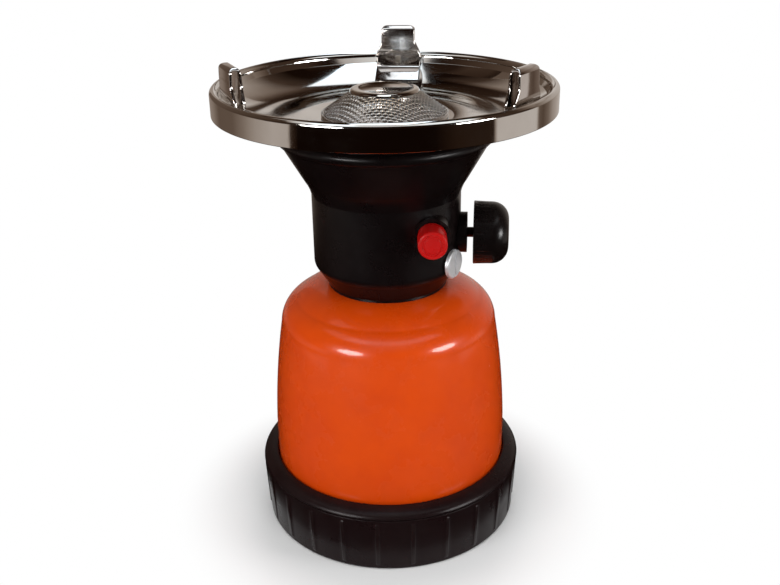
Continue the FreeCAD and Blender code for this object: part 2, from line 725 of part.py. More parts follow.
def valve_body():
    """Brass valve: threaded shank, clamping flange, barrel, gland boss and jet spigot."""
    body = new_body("valve_body")
    revolve(body, [
        (0, shank_bottom),
        (shank_radius, shank_bottom),
        (shank_radius, casing_floor_top),
        (valve_flange_radius, casing_floor_top),
        (valve_flange_radius, casing_floor_top + valve_flange_height),
        (barrel_radius, casing_floor_top + valve_flange_height),
        (barrel_radius, barrel_top),
        (spigot_radius, barrel_top),
        (spigot_radius, spigot_top),
        (0, spigot_top),
    ])
    level = spindle_height.value
    cylinder(body, "Additive", "GlandBoss", gland_boss_radius, gland_boss_end, V(0, 0, level), towards_knob)
    cylinder(body, "Subtractive", "GasBore", gas_bore_radius, spigot_top - shank_bottom - needle_grip,
             V(0, 0, shank_bottom.value + needle_grip.value))
    cylinder(body, "Subtractive", "NeedleSeat", needle_radius + slip_fit, needle_grip,
             V(0, 0, shank_bottom.value))
    cylinder(body, "Subtractive", "JetThread", jet_thread_radius + slip_fit, jet_thread_length + slip_fit,
             V(0, 0, (spigot_top - jet_thread_length - slip_fit).value))
    cylinder(body, "Subtractive", "SpindleBore", spindle_thread_radius + slip_fit,
             gland_boss_end - spindle_tip_start, V((spindle_tip_start - spindle_end_gap).value, 0, level),
             towards_knob)
    chamber_radius = spindle_radius - o_ring_groove + 2 * o_ring_section + slip_fit
    cylinder(body, "Subtractive", "ORingChamber", chamber_radius, gland_boss_end - o_ring_chamber_start,
             V(o_ring_chamber_start.value, 0, level), towards_knob)
    side = heading(screw_angle)
    start = barrel_radius - screw_grip
    cylinder(body, "Subtractive", "CasingScrewThread", screw_shank_radius + slip_fit, screw_grip + past_face,
             side * start.value + V(0, 0, screw_height.value), side)
    return body


def piercing_needle():
    needle_bottom = shank_bottom - needle_reach
    return turned_part("piercing_needle", [
        (0, needle_bottom),
        (needle_radius, needle_bottom + needle_tip),
        (needle_radius, shank_bottom + needle_grip),
        (needle_radius / 2, shank_bottom + needle_grip),
        (needle_radius / 2, needle_bottom + needle_tip + needle_bore_start),
        (0, needle_bottom + needle_tip + needle_bore_start),
    ])


def cartridge_seal():
    inner = needle_radius + slip_fit
    return turned_part("cartridge_seal", [
        (inner, cartridge_top + seat_gap),
        (seal_radius, cartridge_top + seat_gap),
        (seal_radius, shank_bottom),
        (inner, shank_bottom),
    ])


def valve_spindle():
    """Stem that carries the knob; its tip closes the gas bore."""
    groove = spindle_radius - o_ring_groove - slip_fit
    groove_half = o_ring_section + 2 * slip_fit
    body = turned_part("valve_spindle", [
        (0, spindle_tip_start),
        (spindle_radius / 2, spindle_tip_start),
        (spindle_radius, spindle_tip_start + spindle_tip_length),
        (spindle_radius, spindle_thread_start),
        (spindle_thread_radius, spindle_thread_start),
        (spindle_thread_radius, spindle_thread_start + spindle_thread_length),
        (spindle_radius, spindle_thread_start + spindle_thread_length),
        (spindle_radius, o_ring_place - groove_half),
        (groove, o_ring_place - groove_half),
        (groove, o_ring_place + groove_half),
        (spindle_radius, o_ring_place + groove_half),
        (spindle_radius, knob_face + knob_bore_depth - seat_gap),
        (0, knob_face + knob_bore_depth - seat_gap),
    ])
    body.Placement = standing(V(0, 0, spindle_height.value), towards_knob)
    return body


def spindle_o_ring():
    ring = doc.addObject("Part::Torus", "spindle_o_ring")
    ring.setExpression("Radius1", text_of(spindle_radius - o_ring_groove + o_ring_section))
    ring.setExpression("Radius2", text_of(o_ring_section))
    ring.Label = "spindle_o_ring"
    ring.Placement = standing(V(o_ring_place.value, 0, spindle_height.value), towards_knob)
    return ring


def control_knob():
    """Hollow knob with a rounded end, a hub on the spindle and a fluted grip."""
    inner = knob_radius - knob_wall
    body = new_body("control_knob")
    revolve(body, [
        (spindle_radius + slip_fit, knob_face),
        (knob_hub_radius, knob_face),
        (knob_hub_radius, knob_end - knob_wall),
        (inner - knob_round + knob_wall, knob_end - knob_wall),
        (inner, knob_end - knob_round, knob_wall - knob_round),
        (inner, knob_face),
        (knob_radius - knob_edge, knob_face),
        (knob_radius, knob_face + knob_edge),
        (knob_radius - knob_taper, knob_end - knob_round),
        (knob_radius - knob_taper - knob_round, knob_end, knob_round),
        (0, knob_end),
        (0, knob_face + knob_bore_depth),
        (spindle_radius + slip_fit, knob_face + knob_bore_depth),
    ])
    flute = cylinder(body, "Subtractive", "Flute", knob_flute_radius, knob_flute_length,
                     V((knob_radius + knob_flute_radius - knob_flute_depth).value, 0,
                       (knob_face + knob_flute_start).value))
    polar_pattern(body, flute, knob_flute_count)
    body.Placement = standing(V(0, 0, spindle_height.value), towards_knob)
    return body


def jet():
    """Brass jet: thread in the spigot, round head, gas bore and fine orifice."""
    bore = gas_bore_radius / 2
    orifice_start = spigot_top + jet_tip_height - jet_orifice_length
    return turned_part("jet", [
        (bore, spigot_top - jet_thread_length),
        (jet_thread_radius, spigot_top - jet_thread_length),
        (jet_thread_radius, spigot_top),
        (jet_head_radius, spigot_top),
        (jet_head_radius, spigot_top + jet_head_height),
        (jet_tip_radius, spigot_top + jet_tip_height),
        (jet_orifice_radius, spigot_top + jet_tip_height),
        (jet_orifice_radius, orifice_start),
        (bore, orifice_start - bore + jet_orifice_radius),
    ])


def burner_tube():
    """Mixing tube that carries the burner; four ports draw air in above the jet."""
    body = turned_part("burner_tube", [
        (tube_inner, barrel_top),
        (tube_outer, barrel_top),
        (tube_outer, dish_floor_height),
        (tube_inner, dish_floor_height),
    ])
    port = cylinder(body, "Subtractive", "AirPort", air_port_radius, tube_outer + past_face,
                    V(0, 0, air_port_height.value), towards_knob)
    polar_pattern(body, port, air_port_count)
    return body


def dish():
    """Chromed pan: outer skirt, rolled rim, crease and bowl with the burner's hole."""
    wall = dish_sheet
    crease = dish_rim_height - dish_crease_depth
    skirt_bottom = dish_rim_height - dish_skirt_depth
    shoulder = dish_rim_height - dish_shoulder_depth
    rim = dish_rim_round
    body = turned_part("dish", [
        (dish_radius, skirt_bottom),
        (dish_radius, dish_rim_height - rim),
        (dish_radius - rim, dish_rim_height, rim),
        (dish_shoulder_radius, shoulder, dish_shoulder_round),
        (dish_crease_radius, crease),
        (dish_seat_radius, dish_seat_height, -dish_bowl_arc),
        (dish_floor_radius, dish_floor_height),
        (dish_hole, dish_floor_height),
        (dish_hole, dish_underside),
        (dish_floor_radius, dish_underside),
        (dish_seat_radius, dish_seat_height - wall),
        inner_corner(dish_crease_radius, crease, wall, crease_lean) + (dish_bowl_arc + wall,),
        inner_corner(dish_shoulder_radius, shoulder, wall, rim_lean),
        (dish_radius - rim, dish_rim_height - wall, wall - dish_shoulder_round),
        (dish_radius - wall, dish_rim_height - rim, wall - rim),
        (dish_radius - wall, skirt_bottom),
    ])
    hole_place = heading(electrode_angle) * electrode_place.value
    cylinder(body, "Subtractive", "ElectrodeHole", ceramic_radius + loose_fit / 2,
             dish_seat_height - dish_underside + 2 * past_face,
             hole_place + V(0, 0, dish_underside.value - past_face))
    return body


def pot_support(label, angle):
    """Pressed strip bent into a hairpin over the dish, with a foot on the bowl."""
    inner = support_outer - support_depth
    sheet_wall = support_sheet
    leg_end = dish_rim_height - support_leg_clear
    bowl_height = bowl_height_under_support()
    foot_outer = inner + sheet_wall
    foot_inner = inner - support_foot_length
    foot_end = bowl_height + slip_fit
    body = new_body(label)
    profile = new_sketch(body, label + "_strip", "YZ_Plane")
    outline(profile, [
        (support_outer, leg_end),
        (support_outer, support_top - support_round),
        (support_outer - support_round, support_top, support_round),
        (inner + support_round, support_top),
        (inner, support_top - support_round, support_round),
        (inner, foot_end + support_bend_rise),
        (foot_inner, foot_end + sheet_wall - support_foot_drop),
        (foot_inner, foot_end - support_foot_drop),
        (foot_outer, foot_end),
        (foot_outer, support_top - support_round),
        (inner + support_round, support_top - sheet_wall, sheet_wall - support_round),
        (support_outer - support_round, support_top - sheet_wall),
        (support_outer - sheet_wall, support_top - support_round, sheet_wall - support_round),
        (support_outer - sheet_wall, leg_end),
    ])
    strip = body.newObject("PartDesign::Pad", label + "_pad")
    strip.Profile = profile
    strip.setExpression("Length", support_foot_width.text)
    strip.Midplane = True
    half_top = support_top_width / 2
    half_foot = support_foot_width / 2
    for side, name in ((1, "_right_trim"), (-1, "_left_trim")):
        trim = new_sketch(body, label + name, "XZ_Plane")
        far = half_foot + support_trim_margin
        turn = support_corner * side
        outline(trim, [
            (side * far, dish_rim_height + support_flare_bottom_rise),
            (side * half_foot, dish_rim_height + support_flare_bottom_rise),
            (side * half_top, dish_rim_height + support_flare_top_rise),
            (side * half_top, support_top - support_corner),
            (side * (half_top - support_corner), support_top, turn),
            (side * (half_top - support_corner), support_top + support_trim_margin),
            (side * far, support_top + support_trim_margin),
        ])
        cut = body.newObject("PartDesign::Pocket", label + name + "_cut")
        cut.Profile = trim
        cut.Type = "ThroughAll"
        cut.Midplane = True
    body.Placement = FreeCAD.Placement(V(0, 0, 0), FreeCAD.Rotation(upwards, angle - 90.0))
    return body


def bowl_height_under_support():
    """Height of the bowl's surface under the corners of a pot support's inner leg."""
    crease = dish_rim_height.value - dish_crease_depth.value
    outer = (dish_crease_radius.value, crease)
    seat = (dish_seat_radius.value, dish_seat_height.value)
    centre = arc_centre(outer, seat, -dish_bowl_arc.value)
    leg = support_outer.value - support_depth.value + support_sheet.value
    reach = math.hypot(leg, support_foot_width.value / 2) - centre.x
    surface = centre.y - math.sqrt(dish_bowl_arc.value ** 2 - reach ** 2)
    return dish_seat_height + (surface - dish_seat_height.value)


def burner_cup():
    """Burner base on the dish, with a tail that passes down round the mixing tube."""
    sheet_wall = burner_cup_sheet
    floor = dish_floor_height
    return turned_part("burner_cup", [
        (tail_inner, floor - burner_tail_length),
        (tail_outer, floor - burner_tail_length),
        (tail_outer, floor),
        (burner_radius, floor),
        (burner_radius, floor + burner_cup_wall),
        (burner_radius - sheet_wall, floor + burner_cup_wall),
        (burner_radius - sheet_wall, floor + sheet_wall),
        (tail_inner, floor + sheet_wall),
    ])


def burner_mesh():
    """Cone of fine mesh that the flame burns on."""
    foot = dish_floor_height + burner_cup_sheet
    outer = burner_radius - burner_cup_sheet - slip_fit
    return turned_part("burner_mesh", [
        (outer, foot),
        (outer, foot + mesh_foot),
        (mesh_top_radius, mesh_top_height),
        (0, mesh_top_height),
        (0, mesh_top_height - mesh_sheet),
        (mesh_top_radius - mesh_sheet / 2, mesh_top_height - mesh_sheet),
        (outer - mesh_sheet, foot + mesh_foot - mesh_sheet / 2),
        (outer - mesh_sheet, foot),
    ])


def burner_cap():
    """Polished cap on top of the mesh cone."""
    top = mesh_top_height + cap_sheet
    return turned_part("burner_cap", [
        (0, mesh_top_height),
        (mesh_top_radius, mesh_top_height),
        (mesh_top_radius + cap_overhang, mesh_top_height - cap_skirt),
        (mesh_top_radius + cap_overhang + cap_edge, mesh_top_height - cap_skirt + cap_edge / 3),
        (mesh_top_radius - cap_edge, top, cap_round),
        (0, top),
    ])


def casing_screw():
    """Slotted screw that ties the casing to the valve body."""
    under_head = casing_radius + loose_fit / 2
    shank_end = barrel_radius - screw_grip + seat_gap
    body = turned_part("casing_screw", [
        (0, shank_end),
        (screw_shank_radius, shank_end),
        (screw_shank_radius, under_head),
        (screw_head_radius, under_head),
        (screw_head_radius, under_head + screw_head_height - screw_head_edge),
        (screw_head_radius - screw_head_edge, under_head + screw_head_height),
        (0, under_head + screw_head_height),
    ])
    slot = body.newObject("PartDesign::SubtractiveBox", "Slot")
    slot.setExpression("Length", text_of(2 * (screw_head_radius + past_face)))
    slot.setExpression("Width", screw_slot_width.text)
    slot.setExpression("Height", text_of(screw_slot_depth + past_face))
    face = under_head + screw_head_height
    slot.Placement = FreeCAD.Placement(
        V(-screw_head_radius.value - past_face, -screw_slot_width.value / 2,
          (face - screw_slot_depth).value), FreeCAD.Rotation())
    upright = FreeCAD.Rotation(upwards, value_of(screw_angle)) * FreeCAD.Rotation(V(0, 1, 0), 90)
    body.Placement = FreeCAD.Placement(V(0, 0, screw_height.value), upright)
    return body


def igniter_button():
    """Red push button: a cap with a dished face that slides over the igniter's nose."""
    back = button_face - button_length
    body = turned_part("igniter_button", [
        (piezo_nose_radius + loose_fit / 2, back),
        (button_radius, back),
        (button_radius, button_face - button_round),
        (button_radius - button_round, button_face, button_round),
        (button_dish_radius, button_face),
        (button_dish_radius - button_dish, button_face - button_dish),
        (0, button_face - button_dish),
        (0, button_face - button_dish - button_wall),
        (piezo_nose_radius + loose_fit / 2, button_face - button_dish - button_wall),
    ])
    aim_along_igniter(body)
    return body


def piezo_case():
    """Igniter case: wide rear seated on the casing's sleeve, narrow nose under the button."""
    nose_end = sleeve_back + piezo_nose_length
    body = turned_part("piezo_case", [
        (0, piezo_back),
        (piezo_radius, piezo_back),
        (piezo_radius, sleeve_back - seat_gap / 3),
        (piezo_nose_radius, sleeve_back - seat_gap / 3),
        (piezo_nose_radius, nose_end),
        (piezo_bore_radius, nose_end),
        (piezo_bore_radius, piezo_back + piezo_floor),
        (0, piezo_back + piezo_floor),
    ])
    cylinder(body, "Subtractive", "TerminalHole", terminal_radius + slip_fit, piezo_floor + 2 * past_face,
             V(0, 0, piezo_back.value - past_face))
    aim_along_igniter(body)
    return body


def igniter_slug(label, radius, start, end):
    """Plain round piece on the igniter's axis."""
    piece = doc.addObject("Part::Cylinder", label)
    piece.setExpression("Radius", text_of(radius))
    piece.setExpression("Height", text_of(end - start))
    piece.Label = label
    piece.Placement = standing(igniter_point(start), heading(igniter_angle))
    return piece


def return_spring():
    """Coil that pushes the button out, between the case's shoulder and the button."""
    start = (sleeve_back + spring_end_gap).value
    end = (button_face - button_length - spring_end_gap).value
    wire = spring_wire_radius.value
    middle = (piezo_nose_radius.value + button_radius.value) / 2
    helix = Part.makeHelix((end - start) / spring_turns, end - start, middle)
    helix.translate(V(0, 0, start))
    first = helix.Edges[0]
    section = Part.Wire(Part.makeCircle(wire, first.valueAt(first.FirstParameter),
                                        first.tangentAt(first.FirstParameter)))
    coil = Part.Wire(helix.Edges).makePipeShell([section], True, True)
    spring = doc.addObject("Part::Feature", "return_spring")
    spring.Shape = coil
    spring.Label = "return_spring"
    aim_along_igniter(spring)
    return spring


def electrode_ceramic():
    body = turned_part("electrode_ceramic", [
        (electrode_wire_radius + slip_fit, ceramic_bottom),
        (ceramic_radius, ceramic_bottom),
        (ceramic_radius, ceramic_top - ceramic_edge),
        (ceramic_radius - ceramic_edge, ceramic_top),
        (electrode_wire_radius + slip_fit, ceramic_top),
    ])
    body.Placement = FreeCAD.Placement(heading(electrode_angle) * electrode_place.value, FreeCAD.Rotation())
    return body


def swept_tube(label, points, bends, radius):
    """Round wire along straight runs with an arc at each inner point."""
    edges = []
    start = points[0]
    for index in range(1, len(points) - 1):
        corner = points[index]
        before = (corner - points[index - 1]).normalize()
        after = (points[index + 1] - corner).normalize()
        turn = before.getAngle(after)
        setback = bends[index - 1] * math.tan(turn / 2)
        first = corner - before * setback
        last = corner + after * setback
        inward = (after - before).normalize()
        reach = bends[index - 1] / math.cos(turn / 2) - bends[index - 1]
        edges.append(Part.LineSegment(start, first).toShape())
        edges.append(Part.Arc(first, corner + inward * reach, last).toShape())
        start = last
    edges.append(Part.LineSegment(start, points[-1]).toShape())
    path = Part.Wire(edges)
    heading_out = (points[1] - points[0]).normalize()
    section = Part.Wire(Part.makeCircle(radius, points[0], heading_out))
    tube = path.makePipeShell([section], True, False)
    piece = doc.addObject("Part::Feature", label)
    piece.Shape = tube
    piece.Label = label
    ideal = math.pi * radius ** 2 * path.Length
    print("%s length %.1f mm, volume is %.4f of its section times its length" % (
        label, path.Length, tube.Volume / ideal))
    return piece


def electrode_wire():
    """Spark wire through the ceramic, bent towards the mesh above it."""
    out = heading(electrode_angle)
    place = electrode_place.value
    top = electrode_tip_height.value
    return swept_tube("electrode_wire", [
        out * place + V(0, 0, ceramic_bottom.value - electrode_tail.value),
        out * place + V(0, 0, top),
        out * (place - electrode_tip_reach.value) + V(0, 0, top + electrode_tip_rise.value),
    ], [electrode_bend.value], electrode_wire_radius.value)


def electrode_bracket():
    """Plate clamped under the dish that holds the ceramic."""
    top = dish_underside
    body = new_body("electrode_bracket")
    plate = new_sketch(body, "BracketOutline", "XY_Plane")
    half = bracket_arm_width / 2
    reach = electrode_place + ceramic_radius + bracket_margin
    corner = bracket_corner
    root = dish_nut_flats / 2
    outline(plate, [
        (half, root),
        (half, reach - corner),
        (half - corner, reach, corner),
        (corner - half, reach),
        (-half, reach - corner, corner),
        (-half, root),
    ])
    pad = body.newObject("PartDesign::Pad", "BracketArm")
    pad.Profile = plate
    pad.setExpression("Length", bracket_sheet.text)
    cylinder(body, "Additive", "BracketRing", root + bracket_ring_width, bracket_sheet, V(0, 0, 0))
    cylinder(body, "Subtractive", "BracketBore", dish_hole, bracket_sheet + 2 * past_face,
             V(0, 0, -past_face))
    cylinder(body, "Subtractive", "CeramicHole", ceramic_radius + slip_fit, bracket_sheet + 2 * past_face,
             V(0, electrode_place.value, -past_face))
    body.Placement = FreeCAD.Placement(V(0, 0, (top - bracket_sheet).value),
                                       FreeCAD.Rotation(upwards, electrode_angle.value - 90.0))
    return body


def ignition_lead():
    """Insulated lead from the igniter's terminal up to the electrode, round the burner."""
    start = igniter_point(piezo_back - terminal_length)
    aim = heading(igniter_angle)
    end = heading(electrode_angle) * electrode_place.value
    end.z = (ceramic_bottom - electrode_tail).value
    points = [
        start,
        start - aim * lead_straight_out.value,
        V(20.5, 5.5, igniter_height.value + 7.3),
        V(14.0, 17.0, igniter_height.value + 14.3),
        end - V(0, 0, lead_straight_in.value),
        end,
    ]
    bends = []
    for index in range(1, len(points) - 1):
        before = points[index] - points[index - 1]
        after = points[index + 1] - points[index]
        turn = before.getAngle(after)
        bends.append(lead_bend_share * min(before.Length, after.Length) / math.tan(turn / 2))
    print("lead bend radii " + ", ".join("%.1f" % bend for bend in bends))
    return swept_tube("ignition_lead", points, bends, lead_radius.value)


def build_all():
    """Every sub-part, in the order they are put together."""
    parts = [
        base_cup(), gas_cartridge(), cartridge_housing(), valve_body(), piercing_needle(),
        cartridge_seal(),
        hex_nut("lock_nut", lock_nut_flats, lock_nut_height, shank_radius + slip_fit,
                V(0, 0, (housing_top - housing_sheet - lock_nut_height).value)),
        head_casing(), casing_screw(), valve_spindle(), spindle_o_ring(),
        hex_nut("gland_nut", gland_nut_flats, gland_nut_length, spindle_radius + slip_fit,
                V(gland_boss_end.value, 0, spindle_height.value), towards_knob),
        control_knob(), jet(), burner_tube(), burner_cup(), burner_mesh(), burner_cap(), dish(),
        hex_nut("dish_nut", dish_nut_flats, dish_nut_height, tail_outer + slip_fit,
                V(0, 0, (dish_underside - bracket_sheet - dish_nut_height).value)),
        igniter_button(), piezo_case(), return_spring(),
        igniter_slug("igniter_plunger", plunger_radius, plunger_back,
                     button_face - button_dish - button_wall),
        igniter_slug("piezo_crystal", piezo_bore_radius - slip_fit, piezo_back + piezo_floor,
                     anvil_end - anvil_length),
        igniter_slug("piezo_anvil", piezo_bore_radius - slip_fit, anvil_end - anvil_length, anvil_end),
        igniter_slug("piezo_terminal", terminal_radius, piezo_back - terminal_length,
                     piezo_back + piezo_floor),
        electrode_ceramic(), electrode_wire(), electrode_bracket(), ignition_lead(),
    ]
    for label, angle in support_angles.items():
        parts.append(pot_support(label, angle))
    return parts


def check_document():
    for item in doc.Objects:
        for state in ("Invalid", "Error"):
            if state in item.State:
                raise RuntimeError("%s is %s" % (item.Label, state))


def write_parts(parts):
    os.makedirs("parts", exist_ok=True)
    for part in parts:
        shape = part.Shape
        if shape.isNull() or not shape.isValid():
            raise RuntimeError(part.Label + " has no valid shape")
        box = shape.BoundBox
        print("%-18s %d solid, %9.1f mm3, x %.1f to %.1f, y %.1f to %.1f, z %.1f to %.1f" % (
            part.Label, len(shape.Solids), shape.Volume, box.XMin, box.XMax,
            box.YMin, box.YMax, box.ZMin, box.ZMax))
        shape.exportStep("parts/%s.step" % part.Label)


all_parts = build_all()
doc.recompute()
check_document()
write_parts(all_parts)
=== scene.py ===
"""Blender looks of a camping stove on a pierced gas cartridge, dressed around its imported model."""
import logging
import math
from dataclasses import dataclass, field
from enum import Enum
from typing import Any, Callable, Optional, Sequence

import bmesh
import bpy
from mathutils import Matrix, Vector


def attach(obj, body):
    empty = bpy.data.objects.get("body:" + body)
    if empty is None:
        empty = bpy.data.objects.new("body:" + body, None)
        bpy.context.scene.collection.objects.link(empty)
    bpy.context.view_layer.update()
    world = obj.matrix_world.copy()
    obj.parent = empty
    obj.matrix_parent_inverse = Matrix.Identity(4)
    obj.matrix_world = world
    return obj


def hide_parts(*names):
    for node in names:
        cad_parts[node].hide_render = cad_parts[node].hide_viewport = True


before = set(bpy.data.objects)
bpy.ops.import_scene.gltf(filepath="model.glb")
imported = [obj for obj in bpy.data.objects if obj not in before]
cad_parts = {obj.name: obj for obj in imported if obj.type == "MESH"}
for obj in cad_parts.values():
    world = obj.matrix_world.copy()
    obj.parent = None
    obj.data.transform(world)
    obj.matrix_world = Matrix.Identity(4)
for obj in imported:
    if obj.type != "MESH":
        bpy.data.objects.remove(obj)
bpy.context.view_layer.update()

logging.basicConfig(level=logging.INFO, format="%(name)s: %(message)s")
log = logging.getLogger("stove")

MM = 0.001
TINY = 1e-6
Point = tuple[float, float]
Corner = tuple[float, ...]
Colour = tuple[float, float, float]


def clamped(value: float) -> float:
    """A value kept between 0 and 1."""
    return min(max(value, 0.0), 1.0)


def eased(value: float) -> float:
    """A value kept between 0 and 1 that leaves and reaches them smoothly."""
    share = clamped(value)
    return share * share * (3 - 2 * share)


def arc_centre(start: Point, end: Point, radius: float) -> Point:
    """Finds the centre of an arc of an outline.

    Args:
        start: Where the arc leaves.
        end: Where it arrives.
        radius: Its radius; a positive one turns left.

    Returns:
        The centre's two coordinates.
    """
    across, up = end[0] - start[0], end[1] - start[1]
    length = math.hypot(across, up)
    reach = math.copysign(math.sqrt(max(radius * radius - length * length / 4, 0.0)), radius)
    middle = (start[0] + end[0]) / 2, (start[1] + end[1]) / 2
    return middle[0] - up / length * reach, middle[1] + across / length * reach


def traced(corners: Sequence[Corner], closed: bool = True, step: float = 0.7) -> list[Point]:
    """Turns corners into points, with arcs where a corner has a third number.

    Args:
        corners: Each is (x, y), or (x, y, r) where an arc of radius r arrives.
        closed: Whether the last corner joins the first.
        step: Longest distance between two points of an arc, in mm.

    Returns:
        The points in order.
    """
    fewest_parts = 3
    points: list[Point] = []
    count = len(corners)
    for index in range(count if closed else count - 1):
        start, end = corners[index][:2], corners[(index + 1) % count]
        points.append(start)
        if len(end) < 3:
            continue
        radius = end[2]
        centre = arc_centre(start, end[:2], radius)
        first = math.atan2(start[1] - centre[1], start[0] - centre[0])
        sweep = math.atan2(end[1] - centre[1], end[0] - centre[0]) - first
        sweep = sweep % (2 * math.pi) if radius > 0 else -(-sweep % (2 * math.pi))
        parts = max(fewest_parts, math.ceil(abs(radius * sweep) / step))
        for part in range(1, parts):
            angle = first + sweep * part / parts
            points.append((centre[0] + abs(radius) * math.cos(angle),
                           centre[1] + abs(radius) * math.sin(angle)))
    if not closed:
        points.append(corners[-1][:2])
    return points


def softened(points: Sequence[Point], radius: float, least: float = 18.0, parts: int = 4) -> list[Point]:
    """Rounds the sharp corners of a closed outline.

    Args:
        points: The outline.
        radius: Radius of the rounding, in mm, made smaller where a side is short.
        least: Corners that turn less than this many degrees stay.
        parts: Number of steps in a rounding.

    Returns:
        The outline with its corners rounded, and a narrow flat strip on each side of every rounding.
    """
    most_of_side, strip = 0.42, 0.1
    result: list[Point] = []
    count = len(points)
    for index, here in enumerate(points):
        before, after = Vector(points[index - 1]), Vector(points[(index + 1) % count])
        corner = Vector(here)
        back, on = before - corner, after - corner
        turn = math.pi - back.angle(on, math.pi)
        if math.degrees(turn) < least or here[0] < TINY:
            result.append(here)
            continue
        cut = min(radius * math.tan(turn / 2), most_of_side * back.length, most_of_side * on.length)
        start, end = corner + back.normalized() * cut, corner + on.normalized() * cut
        result.append(tuple(start + back.normalized() * min(cut, strip)))
        for part in range(parts + 1):
            t = part / parts
            result.append(tuple(start * (1 - t) ** 2 + corner * (2 * t * (1 - t)) + end * t ** 2))
        result.append(tuple(end + on.normalized() * min(cut, strip)))
    return result


def sheet(points: Sequence[Point], wall: float) -> list[Point]:
    """Closed outline of a sheet whose outer face follows an open line.

    Args:
        points: The outer face, with the metal on its left.
        wall: Thickness in mm.

    Returns:
        The outer face followed by the inner face, back to the start.
    """
    inner: list[Point] = []
    for index, here in enumerate(points):
        before = Vector(points[max(index - 1, 0)])
        after = Vector(points[min(index + 1, len(points) - 1)])
        along = (after - before).normalized()
        inner.append((here[0] - along.y * wall, here[1] + along.x * wall))
    return list(points) + inner[::-1]


def finished_mesh(name: str, mesh_data: bmesh.types.BMesh, sharp: float = 40.0) -> bpy.types.Object:
    """Makes an object of a bmesh, smooth but for its sharp edges.

    Args:
        name: Name of the piece.
        mesh_data: Its mesh, which is freed.
        sharp: Edges that turn more than this many degrees stay sharp.

    Returns:
        The new object, linked to the scene.
    """
    bmesh.ops.recalc_face_normals(mesh_data, faces=mesh_data.faces)
    mesh = bpy.data.meshes.new(name)
    mesh_data.to_mesh(mesh)
    mesh_data.free()
    mesh.shade_smooth()
    mesh.set_sharp_from_angle(angle=math.radians(sharp))
    piece = bpy.data.objects.new(name, mesh)
    bpy.context.scene.collection.objects.link(piece)
    return piece


def even_angles(count: int = 160) -> list[float]:
    """Angles in degrees, evenly round a circle."""
    return [360.0 * index / count for index in range(count)]


def stitch(data: bmesh.types.BMesh, row: Sequence[bmesh.types.BMVert], after: Sequence[bmesh.types.BMVert],
           closed: bool = True) -> None:
    """Joins two rows of vertices with faces.

    Args:
        data: The mesh that holds both rows.
        row: The first row, or one vertex that a fan of faces meets.
        after: The second row, or one vertex that a fan of faces meets.
        closed: Whether the rows join their starts.
    """
    count = max(len(row), len(after))
    if count == 1:
        return
    for part in range(count if closed else count - 1):
        on = (part + 1) % count
        corners = (row[part % len(row)], row[on % len(row)], after[on % len(after)], after[part % len(after)])
        data.faces.new(tuple(dict.fromkeys(corners)))


def turned(name: str, points: Sequence[Point], angles: Sequence[float] = tuple(even_angles()),
           where: Optional[Matrix] = None,
           shaped: Optional[Callable[[float, float, float], float]] = None) -> bpy.types.Object:
    """Turns a closed outline about the vertical axis.

    Args:
        name: Name of the piece.
        points: The outline as distance from the axis and height, in mm.
        angles: The angles of its ribs of vertices, in degrees.
        where: Placement of the finished piece, in mm.
        shaped: Gives the distance from the axis for (angle, distance, height).

    Returns:
        The new object.
    """
    data = bmesh.new()
    rings: list[list[bmesh.types.BMVert]] = []
    for across, up in points:
        if across < TINY:
            rings.append([data.verts.new((0.0, 0.0, up))])
            continue
        ring = []
        for angle in angles:
            out = shaped(angle, across, up) if shaped else across
            turn = math.radians(angle)
            ring.append(data.verts.new((out * math.cos(turn), out * math.sin(turn), up)))
        rings.append(ring)
    for index, ring in enumerate(rings):
        stitch(data, ring, rings[(index + 1) % len(rings)])
    data.transform(Matrix.Scale(MM, 4) @ (where or Matrix.Identity(4)))
    return finished_mesh(name, data)


def tube_rings(data: bmesh.types.BMesh, path: Sequence[Vector], radius: float, sides: int = 6,
               closed: bool = False) -> None:
    """Adds a round wire along a path to a bmesh.

    Args:
        data: The mesh that gets the wire.
        path: The wire's middle line.
        radius: Its radius.
        sides: Number of faces round it.
        closed: Whether the path joins its start.
    """
    rings = []
    count = len(path)
    for index, place in enumerate(path):
        before = path[index - 1] if closed or index else path[0]
        after = path[(index + 1) % count] if closed or index < count - 1 else path[-1]
        along = (after - before).normalized()
        side = along.cross(Vector((0, 0, 1)))
        side = side.normalized() if side.length > TINY else Vector((1, 0, 0))
        lift = side.cross(along)
        rings.append([data.verts.new(place + radius * (side * math.cos(turn) + lift * math.sin(turn)))
                      for turn in (2 * math.pi * part / sides for part in range(sides))])
    for index in range(count if closed else count - 1):
        stitch(data, rings[index], rings[(index + 1) % count])
    if not closed:
        data.faces.new(rings[0][::-1])
        data.faces.new(rings[-1])


def along_axis(start: Vector, direction: Vector) -> Matrix:
    """Placement that lays the vertical axis along a direction from a place."""
    return Matrix.Translation(start) @ Vector((0, 0, 1)).rotation_difference(direction).to_matrix().to_4x4()


